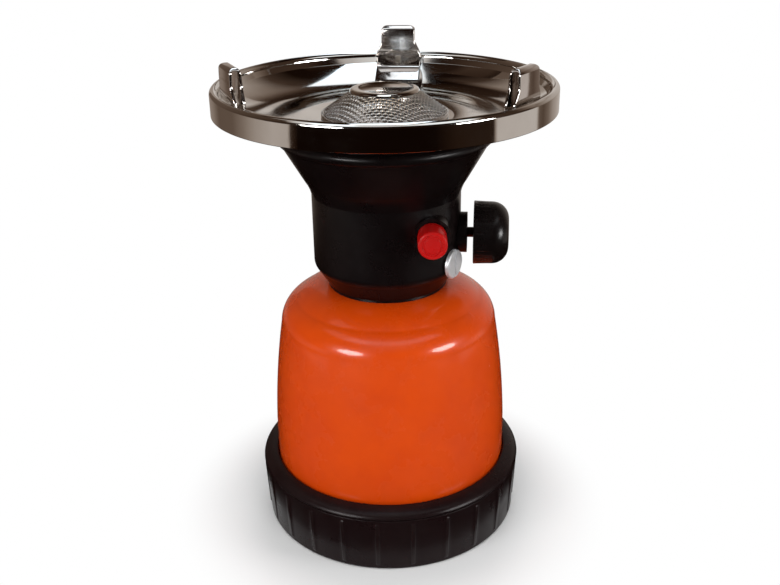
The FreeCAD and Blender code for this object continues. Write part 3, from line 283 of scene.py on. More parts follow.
class Tree:
    """A node tree with short calls that add and join nodes."""

    mix_inputs = (0, 6, 7)
    mix_output = 2

    def __init__(self, tree: bpy.types.NodeTree) -> None:
        """Starts on an empty tree."""
        self.tree = tree
        tree.nodes.clear()

    def add(self, kind: str, inputs: Optional[dict[Any, Any]] = None, **settings: Any) -> bpy.types.Node:
        """Adds a shader node.

        Args:
            kind: The node's type without its ShaderNode prefix.
            inputs: Input name or number with a socket to join or a value to set.
            settings: The node's own properties.

        Returns:
            The node.
        """
        node = self.tree.nodes.new("ShaderNode" + kind)
        for key, value in settings.items():
            setattr(node, key, value)
        for key, value in (inputs or {}).items():
            if isinstance(value, bpy.types.NodeSocket):
                self.tree.links.new(value, node.inputs[key])
            else:
                node.inputs[key].default_value = value
        return node

    def maths(self, operation: str, *values: Any) -> bpy.types.NodeSocket:
        """One maths node on one to three values; returns its output."""
        return self.add("Math", dict(enumerate(values)), operation=operation).outputs[0]

    def product(self, *values: Any) -> bpy.types.NodeSocket:
        """Multiplies two or more values and returns the output."""
        result = values[0]
        for value in values[1:]:
            result = self.maths("MULTIPLY", result, value)
        return result

    def spread(self, value: Any, low: float, high: float, start: float = 0.0, end: float = 1.0,
               smooth: bool = False) -> bpy.types.NodeSocket:
        """Maps a value from low..high to start..end and returns the output."""
        kind = "SMOOTHSTEP" if smooth else "LINEAR"
        node = self.add("MapRange", {0: value, 1: low, 2: high, 3: start, 4: end}, interpolation_type=kind)
        return node.outputs[0]

    def blend(self, share: Any, first: Any, second: Any) -> bpy.types.NodeSocket:
        """Mixes two colours by a share and returns the output."""
        colours = (colour if isinstance(colour, bpy.types.NodeSocket) else (*colour, 1.0)
                   for colour in (first, second))
        inputs = dict(zip(self.mix_inputs, (share, *colours)))
        return self.add("Mix", inputs, data_type="RGBA").outputs[self.mix_output]

    def noise(self, where: Any, scale: Any, detail: float = 2.0, rough: float = 0.5) -> bpy.types.NodeSocket:
        """Noise value at a place and scale."""
        inputs = {"Vector": where, "Scale": scale, "Detail": detail, "Roughness": rough}
        return self.add("TexNoise", inputs).outputs[0]


class Effect(Enum):
    """The surface effects that more than one finish uses, each a node group."""

    EDGE_WEAR = "edge wear"
    DUST = "settled dust"
    SCRATCHES = "fine scratches"
    SMUDGES = "smudges"
    GRAIN = "moulded grain"
    SPIN = "spinning lines"


class EffectTree(Tree):
    """The node group of a shared effect, with named inputs and one named output."""

    def __init__(self, effect: Effect, inputs: dict[str, float], output: str) -> None:
        """Starts the group.

        Args:
            effect: The effect that it makes.
            inputs: Its inputs' names and first values.
            output: Its output's name.
        """
        super().__init__(bpy.data.node_groups.new(effect.value, "ShaderNodeTree"))
        sockets = self.tree.interface
        for name, value in inputs.items():
            socket = sockets.new_socket(name=name, in_out="INPUT", socket_type="NodeSocketFloat")
            socket.default_value = value
        sockets.new_socket(name=output, in_out="OUTPUT", socket_type="NodeSocketFloat")
        self.ins = self.tree.nodes.new("NodeGroupInput").outputs
        self.place = self.add("TexCoord").outputs["Object"]

    def put_out(self, value: bpy.types.NodeSocket) -> bpy.types.ShaderNodeTree:
        """Joins a value to the group's output and returns the group."""
        self.tree.links.new(value, self.tree.nodes.new("NodeGroupOutput").inputs[0])
        return self.tree


class EffectShelf:
    """Builds each shared effect once and hands it to the finishes."""

    def __init__(self) -> None:
        """Starts with every effect still to be built."""
        self.built: dict[Effect, bpy.types.ShaderNodeTree] = {}

    def get(self, effect: Effect) -> bpy.types.ShaderNodeTree:
        """The effect's node group, built on its first use."""
        if effect not in self.built:
            makers = {Effect.EDGE_WEAR: self.edge_wear, Effect.DUST: self.dust,
                      Effect.SCRATCHES: self.scratches, Effect.SMUDGES: self.smudges,
                      Effect.GRAIN: self.grain, Effect.SPIN: self.spin}
            self.built[effect] = makers[effect]()
            log.info("effect %s built", effect.value)
        return self.built[effect]

    def edge_wear(self) -> bpy.types.ShaderNodeTree:
        """Mask of rubbed outer edges, broken up by noise."""
        tree = EffectTree(Effect.EDGE_WEAR, {"Amount": 0.5, "Scale": 300.0}, "Mask")
        edge = tree.spread(tree.add("NewGeometry").outputs["Pointiness"], 0.52, 0.62, smooth=True)
        patch = tree.spread(tree.noise(tree.place, tree.ins["Scale"], 4.0, 0.6), 0.42, 0.62)
        return tree.put_out(tree.product(edge, patch, tree.ins["Amount"]))

    def dust(self) -> bpy.types.ShaderNodeTree:
        """Mask of dust that lies where a surface looks up, as a film with specks."""
        film_share, speck_share, speck_fineness = 0.6, 0.8, 22.0
        tree = EffectTree(Effect.DUST, {"Amount": 0.2, "Scale": 60.0}, "Mask")
        upward = tree.add("SeparateXYZ", {0: tree.add("NewGeometry").outputs["Normal"]}).outputs[2]
        lying = tree.spread(upward, 0.2, 0.95, smooth=True)
        film = tree.spread(tree.noise(tree.place, tree.ins["Scale"], 5.0, 0.65), 0.4, 0.75)
        speck_scale = tree.product(tree.ins["Scale"], speck_fineness)
        specks = tree.spread(tree.noise(tree.place, speck_scale, 1.0), 0.62, 0.72)
        both = tree.maths("ADD", tree.product(film, film_share), tree.product(specks, speck_share))
        return tree.put_out(tree.product(both, lying, tree.ins["Amount"]))

    def scratches(self) -> bpy.types.ShaderNodeTree:
        """Mask of thin scratches that run in two directions."""
        line_width, patch_scale = 0.012, 90.0
        tree = EffectTree(Effect.SCRATCHES, {"Amount": 0.3, "Scale": 60.0}, "Mask")
        lines = []
        for turn, stretch in ((0.6, (1.0, 24.0, 5.0)), (2.1, (20.0, 1.0, 7.0))):
            mapped = tree.add("Mapping", {"Vector": tree.place, "Rotation": (turn, turn * 0.7, turn * 1.9),
                                          "Scale": stretch}).outputs[0]
            line = tree.noise(mapped, tree.ins["Scale"], 2.0)
            near = tree.maths("ABSOLUTE", tree.maths("SUBTRACT", line, 0.5))
            lines.append(tree.spread(near, 0.0, line_width, 1.0, 0.0))
        patch = tree.spread(tree.noise(tree.place, patch_scale, 2.0), 0.5, 0.7)
        return tree.put_out(tree.product(tree.maths("MAXIMUM", *lines), patch, tree.ins["Amount"]))

    def smudges(self) -> bpy.types.ShaderNodeTree:
        """Roughness that drifts between a low and a high value, as handled surfaces do."""
        tree = EffectTree(Effect.SMUDGES, {"Low": 0.1, "High": 0.3, "Scale": 50.0}, "Roughness")
        cloud = tree.spread(tree.noise(tree.place, tree.ins["Scale"], 5.0, 0.6), 0.35, 0.7)
        width = tree.maths("SUBTRACT", tree.ins["High"], tree.ins["Low"])
        return tree.put_out(tree.maths("MULTIPLY_ADD", cloud, width, tree.ins["Low"]))

    def grain(self) -> bpy.types.ShaderNodeTree:
        """Height in mm of a fine moulded, rolled or sprayed texture on wider waves."""
        wave_fineness, wave_share = 0.13, 1.6
        tree = EffectTree(Effect.GRAIN, {"Scale": 1800.0, "Depth": 0.01}, "Height")
        fine = tree.noise(tree.place, tree.ins["Scale"], 3.0, 0.55)
        waves = tree.noise(tree.place, tree.product(tree.ins["Scale"], wave_fineness), 2.0)
        both = tree.maths("MULTIPLY_ADD", waves, wave_share, fine)
        return tree.put_out(tree.product(both, tree.ins["Depth"]))

    def spin(self) -> bpy.types.ShaderNodeTree:
        """Height in mm of the fine rings that turning or spinning leaves round the vertical axis."""
        tree = EffectTree(Effect.SPIN, {"Scale": 2500.0, "Depth": 0.001}, "Height")
        across, along, up = tree.add("SeparateXYZ", {0: tree.place}).outputs
        squares = tree.maths("ADD", tree.product(across, across), tree.product(along, along))
        section = tree.add("CombineXYZ", {0: tree.maths("SQRT", squares), 1: up, 2: 0.0}).outputs[0]
        return tree.put_out(tree.product(tree.noise(section, tree.ins["Scale"], 2.0), tree.ins["Depth"]))


DUST_COLOUR: Colour = (0.34, 0.31, 0.27)
HEAT_TINTS: tuple[tuple[float, float, float, Colour], ...] = (
    (0.0, 0.45, 0.75, (0.42, 0.30, 0.17)), (0.4, 0.75, 0.7, (0.24, 0.16, 0.22)),
    (0.75, 1.0, 0.6, (0.16, 0.20, 0.30)))


@dataclass(frozen=True)
class Finish:
    """One finish of the stove: its colours, gloss, texture and wear.

    Grain and spin are a scale and a depth in mm, heat is where the tint starts and ends in metres, and wear,
    scratch and dust are amounts.
    """

    name: str
    colour: Colour
    tone: Colour
    rough: tuple[float, float]
    metallic: float = 0.0
    level: float = 0.5
    coat: float = 0.0
    coat_rough: float = 0.05
    grain: tuple[float, float] = (1800.0, 0.002)
    spin: tuple[float, float] = (0.0, 0.0)
    worn: Colour = (0.3, 0.3, 0.3)
    wear: float = 0.3
    scratch: float = 0.3
    dust: float = 0.1
    heat: tuple[float, float] = (0.0, 0.0)

    def material(self, shelf: EffectShelf) -> bpy.types.Material:
        """Builds the finish as a material.

        Args:
            shelf: The shared effects.

        Returns:
            The material.
        """
        scratch_colour, scratch_rough, scratch_depth, dust_rough = 0.5, 0.22, 0.003, 0.5
        material = bpy.data.materials.new(self.name)
        material.use_nodes = True
        tree = Tree(material.node_tree)

        def use(effect: Effect, **values: float) -> bpy.types.NodeSocket:
            """Places an effect with its own values and returns its output."""
            node = tree.add("Group", node_tree=shelf.get(effect))
            for key, value in values.items():
                node.inputs[key].default_value = value
            return node.outputs[0]

        place = tree.add("TexCoord").outputs["Object"]
        patch = tree.spread(tree.noise(place, 45.0, 4.0, 0.6), 0.35, 0.68)
        colour = tree.blend(patch, self.colour, self.tone)
        if self.heat[1] > self.heat[0]:
            colour = self.heat_tint(tree, place, colour)
        wear = use(Effect.EDGE_WEAR, Amount=self.wear, Scale=340.0)
        scratch = use(Effect.SCRATCHES, Amount=self.scratch, Scale=70.0)
        dust = use(Effect.DUST, Amount=self.dust, Scale=55.0)
        rubbed = tree.maths("MAXIMUM", wear, tree.product(scratch, scratch_colour))
        colour = tree.blend(dust, tree.blend(rubbed, colour, self.worn), DUST_COLOUR)
        rough = use(Effect.SMUDGES, Low=self.rough[0], High=self.rough[1], Scale=48.0)
        rough = tree.maths("ADD", rough, tree.product(scratch, scratch_rough))
        rough = tree.maths("ADD", rough, tree.product(dust, dust_rough))
        height = use(Effect.GRAIN, Scale=self.grain[0], Depth=self.grain[1])
        if self.spin[1] > 0:
            height = tree.maths("ADD", height, use(Effect.SPIN, Scale=self.spin[0], Depth=self.spin[1]))
        height = tree.maths("SUBTRACT", height, tree.product(scratch, scratch_depth))
        bump = tree.add("Bump", {"Height": height, "Distance": MM, "Strength": 1.0})
        shader = tree.add("BsdfPrincipled", {
            "Base Color": colour, "Roughness": rough, "Normal": bump.outputs[0], "Metallic": self.metallic,
            "Specular IOR Level": self.level, "Coat Weight": self.coat, "Coat Roughness": self.coat_rough})
        tree.add("OutputMaterial", {"Surface": shader.outputs[0]})
        return material

    def heat_tint(self, tree: Tree, place: bpy.types.NodeSocket,
                  colour: bpy.types.NodeSocket) -> bpy.types.NodeSocket:
        """Tints a colour straw, purple and blue with height, as flame does to steel.

        Args:
            tree: The material's tree.
            place: Object coordinates.
            colour: The colour to tint.

        Returns:
            The tinted colour.
        """
        up = tree.add("SeparateXYZ", {0: place}).outputs[2]
        drift = tree.maths("MULTIPLY_ADD", tree.noise(place, 160.0, 3.0), 0.004, up)
        warm = tree.spread(drift, self.heat[0], self.heat[1])
        for start, end, share, tint in HEAT_TINTS:
            colour = tree.blend(tree.spread(warm, start, end, 0.0, share), colour, tint)
        return colour


PAINT = Finish("orange_enamel", (0.74, 0.069, 0.0015), (0.68, 0.057, 0.0012), (0.22, 0.32), level=0.2,
               coat=0.5, coat_rough=0.07, grain=(700.0, 0.0035), worn=(0.30, 0.12, 0.06), wear=0.25,
               scratch=0.1, dust=0.01)
BASE_PLASTIC = Finish("base_polypropylene", (0.0085, 0.0032, 0.0036), (0.0110, 0.0046, 0.0048), (0.24, 0.38),
                      level=0.15, grain=(2600.0, 0.004), worn=(0.05, 0.035, 0.03), wear=0.5, scratch=0.35,
                      dust=0.02)
HEAD_PLASTIC = Finish("head_nylon", (0.0045, 0.0022, 0.0024), (0.0065, 0.0036, 0.0036), (0.24, 0.36),
                      level=0.17, grain=(2400.0, 0.004), worn=(0.04, 0.03, 0.028), wear=0.4, scratch=0.25,
                      dust=0.015)
KNOB_PLASTIC = Finish("knob_phenolic", (0.0045, 0.0025, 0.0025), (0.0065, 0.004, 0.0038), (0.2, 0.32),
                      level=0.28, grain=(2800.0, 0.003), worn=(0.06, 0.045, 0.04), wear=0.5, scratch=0.3,
                      dust=0.015)
BUTTON_RED = Finish("button_red", (0.54, 0.0055, 0.0045), (0.48, 0.0045, 0.004), (0.22, 0.34), level=0.16,
                    grain=(2200.0, 0.003), worn=(0.58, 0.09, 0.07), wear=0.5, scratch=0.25, dust=0.02)
CHROME = Finish("dish_chrome", (0.74, 0.72, 0.69), (0.68, 0.66, 0.63), (0.03, 0.09), metallic=1.0,
                grain=(260.0, 0.0022), spin=(700.0, 0.0006), worn=(0.52, 0.48, 0.42), wear=0.35, scratch=0.25,
                dust=0.015)
SUPPORT_CHROME = Finish("support_nickel_plate", (0.70, 0.67, 0.65), (0.62, 0.58, 0.55), (0.06, 0.15),
                        metallic=1.0, grain=(900.0, 0.003), worn=(0.40, 0.33, 0.26), wear=0.5, scratch=0.4,
                        dust=0.02)
SCREW_NICKEL = Finish("screw_nickel", (0.82, 0.83, 0.85), (0.74, 0.75, 0.77), (0.34, 0.46), metallic=0.55,
                      grain=(1500.0, 0.003), worn=(0.55, 0.52, 0.46), wear=0.4, scratch=0.5, dust=0.02)
MESH_STEEL = Finish("mesh_wire", (0.80, 0.76, 0.72), (0.62, 0.58, 0.56), (0.2, 0.34), metallic=1.0,
                    grain=(2400.0, 0.003), worn=(0.5, 0.42, 0.33), wear=0.2, scratch=0.1, dust=0.01,
                    heat=(0.1765, 0.1960))
BURNER_STEEL = Finish("burner_steel", (0.62, 0.60, 0.58), (0.54, 0.52, 0.50), (0.04, 0.10), metallic=1.0,
                      grain=(1400.0, 0.0008), spin=(1200.0, 0.0005), worn=(0.42, 0.34, 0.26), wear=0.4,
                      scratch=0.2, dust=0.01, heat=(0.1808, 0.1930))
BRASS = Finish("valve_brass", (0.66, 0.43, 0.17), (0.54, 0.34, 0.13), (0.2, 0.36), metallic=1.0,
               grain=(1200.0, 0.003), spin=(1800.0, 0.001), worn=(0.74, 0.55, 0.28), wear=0.5, scratch=0.4)
STEM_BRASS = Finish("blackened_brass", (0.070, 0.034, 0.022), (0.050, 0.026, 0.018), (0.3, 0.45),
                    metallic=1.0, spin=(1800.0, 0.001), worn=(0.30, 0.19, 0.09), wear=0.3, scratch=0.3)
NEEDLE_STEEL = Finish("needle_steel", (0.56, 0.56, 0.57), (0.46, 0.46, 0.47), (0.18, 0.3), metallic=1.0,
                      spin=(3000.0, 0.0008), worn=(0.6, 0.58, 0.55), wear=0.4, scratch=0.4)
PLATED_STEEL = Finish("plated_steel", (0.58, 0.57, 0.52), (0.48, 0.46, 0.40), (0.24, 0.42), metallic=1.0,
                      grain=(1500.0, 0.003), worn=(0.44, 0.36, 0.28), wear=0.5, scratch=0.4, dust=0.05)
TINPLATE = Finish("cartridge_tinplate", (0.60, 0.60, 0.60), (0.50, 0.50, 0.50), (0.22, 0.4), metallic=1.0,
                  grain=(600.0, 0.004), worn=(0.42, 0.34, 0.27), wear=0.5, scratch=0.5, dust=0.05)
RUBBER = Finish("seal_rubber", (0.018, 0.018, 0.019), (0.028, 0.027, 0.027), (0.6, 0.8), level=0.3,
                grain=(2200.0, 0.008), worn=(0.06, 0.06, 0.06), wear=0.3, scratch=0.2)
PIEZO_PLASTIC = Finish("piezo_case_plastic", (0.30, 0.27, 0.22), (0.26, 0.23, 0.18), (0.35, 0.5),
                       grain=(2200.0, 0.005), worn=(0.42, 0.38, 0.32), wear=0.4, scratch=0.3)
CERAMIC = Finish("electrode_ceramic", (0.74, 0.70, 0.62), (0.66, 0.61, 0.52), (0.14, 0.3), coat=0.5,
                 grain=(1600.0, 0.004), worn=(0.50, 0.42, 0.33), wear=0.3, scratch=0.2, dust=0.05)
LEAD_SLEEVE = Finish("lead_sleeve", (0.05, 0.012, 0.009), (0.038, 0.01, 0.008), (0.4, 0.55), level=0.4,
                     grain=(2600.0, 0.004), worn=(0.12, 0.04, 0.03), wear=0.2, scratch=0.2)


class Bench:
    """Hands out materials, fits finished pieces to their bodies and gives CAD nodes their materials."""

    def __init__(self) -> None:
        """Starts with no material built."""
        self.shelf = EffectShelf()
        self.materials: dict[str, bpy.types.Material] = {}

    def material(self, finish: Finish) -> bpy.types.Material:
        """The finish's material, built on its first use."""
        if finish.name not in self.materials:
            self.materials[finish.name] = finish.material(self.shelf)
        return self.materials[finish.name]

    def fit(self, piece: bpy.types.Object, finish: Finish, body: str, slot: str, *nodes: str) -> None:
        """Gives a new piece its material and its place on a body.

        Args:
            piece: The piece.
            finish: Its finish.
            body: The CAD body that carries it.
            slot: Name of the material slot; not used.
            nodes: CAD nodes that it stands for.
        """
        piece.data.materials.clear()
        piece.data.materials.append(self.material(finish))
        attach(piece, body)
        if nodes:
            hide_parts(*nodes)
        log.info("%s: %d faces, on %s", piece.name, len(piece.data.polygons), body)

    def dress(self, node: str, finish: Finish) -> None:
        """Gives a CAD node's object its material."""
        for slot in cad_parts[node].material_slots:
            slot.material = self.material(finish)
        log.info("%s: CAD node in %s", node, finish.name)


@dataclass
class BaseCup:
    """Black screw-on cup with a rounded lip and 24 grip ribs, sizes in mm and rib angles in degrees."""

    radius: float = 54.6
    height: float = 28.2
    draft: float = 1.1
    belt: float = 48.8
    belt_wall: float = 2.2
    web: float = 2.3
    skirt_wall: float = 1.2
    ledge: float = 12.7
    floor: tuple[float, float] = (1.0, 3.0)
    locating_ring: tuple[float, float, float] = (45.0, 1.2, 6.0)
    lip_height: float = 3.6
    groove: float = 0.7
    ribs: int = 24
    rib_half: float = 1.1
    rib_flank: float = 0.5
    rib_depth: float = 0.35
    rib_margin: float = 2.4
    rib_steps: tuple[float, ...] = (
        -1.1, -0.95, -0.8, -0.6, -0.3, 0.3, 0.6, 0.8, 0.95, 1.1, 2.6, 5.0, 7.5, 10.0, 12.4)

    @property
    def side_top(self) -> float:
        """Height of the ribbed side, up to the lip."""
        return self.height - self.lip_height

    def outline(self) -> list[Point]:
        """The cup's turned outline."""
        side_top, groove, height = self.side_top, self.groove, self.height
        below, floor = self.floor
        inner = self.belt - self.belt_wall
        inner_web = inner + self.web
        shelf = self.ledge - self.web
        foot = self.radius - self.draft
        core = foot - self.skirt_wall
        ring, ring_wall, ring_top = self.locating_ring
        return softened(traced([
            (0, below), (inner - 1.0, below), (inner, 0), (inner_web, 0), (inner_web, shelf), (core, shelf),
            (core, 0), (foot - 0.75, 0), (foot, 1.5, 1.5), (self.radius, side_top - groove),
            (self.radius - groove, side_top - groove / 2), (self.radius - groove, side_top),
            (self.radius + 0.4, side_top + groove / 2), (self.radius - 1.5, height - 0.9, 3.4),
            (self.belt + 0.4, height, 9.0), (self.belt, height - 0.4), (self.belt, self.ledge),
            (inner, self.ledge), (inner, floor), (ring + ring_wall, floor), (ring + ring_wall, ring_top),
            (ring, ring_top), (ring, floor), (0, floor)]), 0.3)

    def on_side(self, out: float) -> bool:
        """Whether a distance from the axis lies on the ribbed side."""
        return out >= self.radius - self.draft - 0.3

    def ribbed(self, angle: float, out: float, up: float) -> float:
        """Distance from the axis of the ribbed side at an angle and height."""
        if not (self.on_side(out) and 0.5 < up < self.side_top - self.groove):
            return out
        pitch = 360.0 / self.ribs
        off = abs((angle + pitch / 2) % pitch - pitch / 2)
        ends = min(up - self.rib_margin, self.side_top - self.rib_margin - up)
        fade = clamped(ends / self.rib_flank + 0.5)
        return out + self.rib_depth * eased((self.rib_half - off) / self.rib_flank) * fade

    def build(self, bench: Bench) -> None:
        """Turns the cup, with added points where its ribs end, and fits it."""
        angles = [360.0 / self.ribs * rib + step for rib in range(self.ribs) for step in self.rib_steps]
        rib_ends = [end + offset for end in (self.rib_margin, self.side_top - self.rib_margin)
                    for offset in (-0.3, 0.0, 0.3)]
        outline = self.outline()
        points: list[Point] = []
        for here, after in zip(outline, outline[1:] + outline[:1]):
            points.append(here)
            rise = after[1] - here[1]
            if rise > self.side_top / 2 and self.on_side(min(here[0], after[0])):
                points += [(here[0] + (after[0] - here[0]) * (up - here[1]) / rise, up) for up in rib_ends]
        cup = turned("ribbed_base_cup", points, angles, shaped=self.ribbed)
        bench.fit(cup, BASE_PLASTIC, "base", "base_plastic", "base_cup")


@dataclass
class CartridgeHousing:
    """Orange enamelled steel bell over the gas cartridge, in mm.

    Taper and shoulder are each an inset from the radius, a height and the radius of the arc that ends there.
    Crown is a distance from the axis and the radius of the arc that ends there.
    """

    radius: float = 48.4
    bottom: float = 13.0
    straight: tuple[float, float] = (30.0, 43.0)
    taper: tuple[float, float, float] = (4.5, 87.6, 340.0)
    shoulder: tuple[float, float, float] = (11.3, 97.7, 11.6)
    crown: tuple[float, float] = (24.4, 24.0)
    top: float = 103.6
    wall: float = 0.7
    hole: float = 9.2

    def build(self, bench: Bench) -> None:
        """Turns the bell and fits it, and finishes the cartridge inside."""
        corners = [(self.radius, up) for up in (self.bottom, *self.straight)]
        corners += [(self.radius - inset, up, arc) for inset, up, arc in (self.taper, self.shoulder)]
        corners += [(self.crown[0], self.top, self.crown[1]), (self.hole, self.top)]
        outer = traced(corners, closed=False)
        bell = turned("orange_housing", softened(sheet(outer, self.wall), 0.3), even_angles(192))
        bench.fit(bell, PAINT, "stove", "housing_paint", "cartridge_housing")
        bench.dress("gas_cartridge", TINPLATE)


@dataclass
class HeadCasing:
    """Black moulded head with its collar, funnel, boss and sleeve, and the screw beside the knob."""

    def build(self, bench: Bench) -> None:
        """Finishes the casing's own solids."""
        bench.dress("head_casing", HEAD_PLASTIC)
        bench.dress("casing_screw", SCREW_NICKEL)


@dataclass
class ControlKnob:
    """Black fluted knob with a rounded end on its stem."""

    face: float = 34.4
    length: float = 13.8
    radius: float = 12.5
    draft: float = 0.3
    nose: float = 6.6
    wall: float = 2.0
    inside: float = 10.5
    hub: float = 4.5
    bore: float = 2.05
    bore_depth: float = 11.0
    axis_height: float = 124.7
    flutes: int = 30
    flute_radius: float = 0.6
    flute_depth: float = 0.35
    flute_start: float = 1.6
    flute_steps: tuple[float, ...] = (-3.6, -2.8, -2.3, -1.8, -1.1, -0.4, 0.4, 1.1, 1.8, 2.3, 2.8, 3.6)

    def fluted(self, angle: float, out: float, up: float) -> float:
        """Distance from the axis of the fluted grip at an angle and height."""
        start, run_in = self.face + self.flute_start - 0.5, 0.8
        if out < self.radius - 3.0 or up < start:
            return out
        pitch = 360.0 / self.flutes
        off = math.radians(abs((angle + pitch / 2) % pitch - pitch / 2)) * self.radius
        if off >= self.flute_radius:
            return out
        middle = self.radius + self.flute_radius - self.flute_depth
        bottom = middle - math.sqrt(self.flute_radius ** 2 - off * off)
        return out if out <= bottom else out + (bottom - out) * clamped((up - start) / run_in)

    def build(self, bench: Bench) -> None:
        """Turns the knob, lays it along its stem and fits it."""
        face, end, radius = self.face, self.face + self.length, self.radius
        hollow = self.nose - self.wall
        drafted = [(radius - inset, face + along)
                   for inset, along in ((0.0, 0.0), (0.1, 1.2), (0.12, 1.6), (0.15, 2.4), (0.25, 5.0))]
        outline = softened(traced([
            (self.bore, face), (self.hub, face), (self.hub, end - self.wall),
            (self.inside - hollow, end - self.wall), (self.inside, end - self.nose, -hollow),
            (self.inside, face), *drafted, (radius - self.draft, end - self.nose),
            (radius - self.draft - self.nose, end, self.nose), (0, end), (0, face + self.bore_depth),
            (self.bore, face + self.bore_depth)], step=0.5), 0.4)
        pitch = 360.0 / self.flutes
        angles = [pitch * flute + step for flute in range(self.flutes) for step in self.flute_steps]
        where = along_axis(Vector((0, 0, self.axis_height)), Vector((1, 0, 0)))
        knob = turned("fluted_knob", outline, angles, where, self.fluted)
        bench.fit(knob, KNOB_PLASTIC, "control", "knob_plastic", "control_knob")
        bench.dress("valve_spindle", STEM_BRASS)


@dataclass
class Igniter:
    """Red push button of the piezo igniter, with a ring groove round its dished face."""

    offset: float = 17.2
    heading: float = -85.0
    height: float = 131.7
    radius: float = 5.5
    front: float = 36.3
    length: float = 11.8
    bore: float = 4.0
    end_wall: float = 1.7
    edge: float = 0.9
    ring_groove: float = 0.45
    inner_finishes: dict[str, Finish] = field(default_factory=lambda: {
        "piezo_case": PIEZO_PLASTIC, "piezo_crystal": CERAMIC, "return_spring": PLATED_STEEL,
        "igniter_plunger": PLATED_STEEL, "piezo_anvil": PLATED_STEEL, "piezo_terminal": BRASS,
        "electrode_ceramic": CERAMIC, "electrode_wire": NEEDLE_STEEL, "electrode_bracket": PLATED_STEEL,
        "ignition_lead": LEAD_SLEEVE})

    def build(self, bench: Bench) -> None:
        """Turns the button, lays it along its axis, fits it and finishes what it works."""
        turn = math.radians(self.heading)
        aim = Vector((math.cos(turn), math.sin(turn), 0))
        start = Vector((-aim.y, aim.x, 0)) * self.offset + Vector((0, 0, self.height))
        back, face = self.front - self.length, self.front
        rim, groove, inside = face - self.edge, face - self.ring_groove, face - self.end_wall
        outline = softened(traced([
            (self.bore, back), (self.radius, back), (self.radius, rim),
            (self.radius - self.edge, face, self.edge), (4.1, face), (3.8, groove), (3.3, groove),
            (3.0, face - 0.1), (1.8, face - 0.3), (0, face - 0.4), (0, inside), (self.bore, inside)],
            step=0.3), 0.15)
        button = turned("red_button", outline, even_angles(72), along_axis(start, aim))
        bench.fit(button, BUTTON_RED, "button", "button_red", "igniter_button")
        for node, finish in self.inner_finishes.items():
            bench.dress(node, finish)


@dataclass
class Valve:
    """Brass valve with its needle, seals, nuts and jet, inside the head."""

    finishes: dict[str, Finish] = field(default_factory=lambda: {
        "valve_body": BRASS, "gland_nut": BRASS, "jet": BRASS, "piercing_needle": NEEDLE_STEEL,
        "cartridge_seal": RUBBER, "spindle_o_ring": RUBBER, "lock_nut": PLATED_STEEL,
        "burner_tube": PLATED_STEEL, "dish_nut": PLATED_STEEL})

    def build(self, bench: Bench) -> None:
        """Finishes each of the valve's solids."""
        for node, finish in self.finishes.items():
            bench.dress(node, finish)


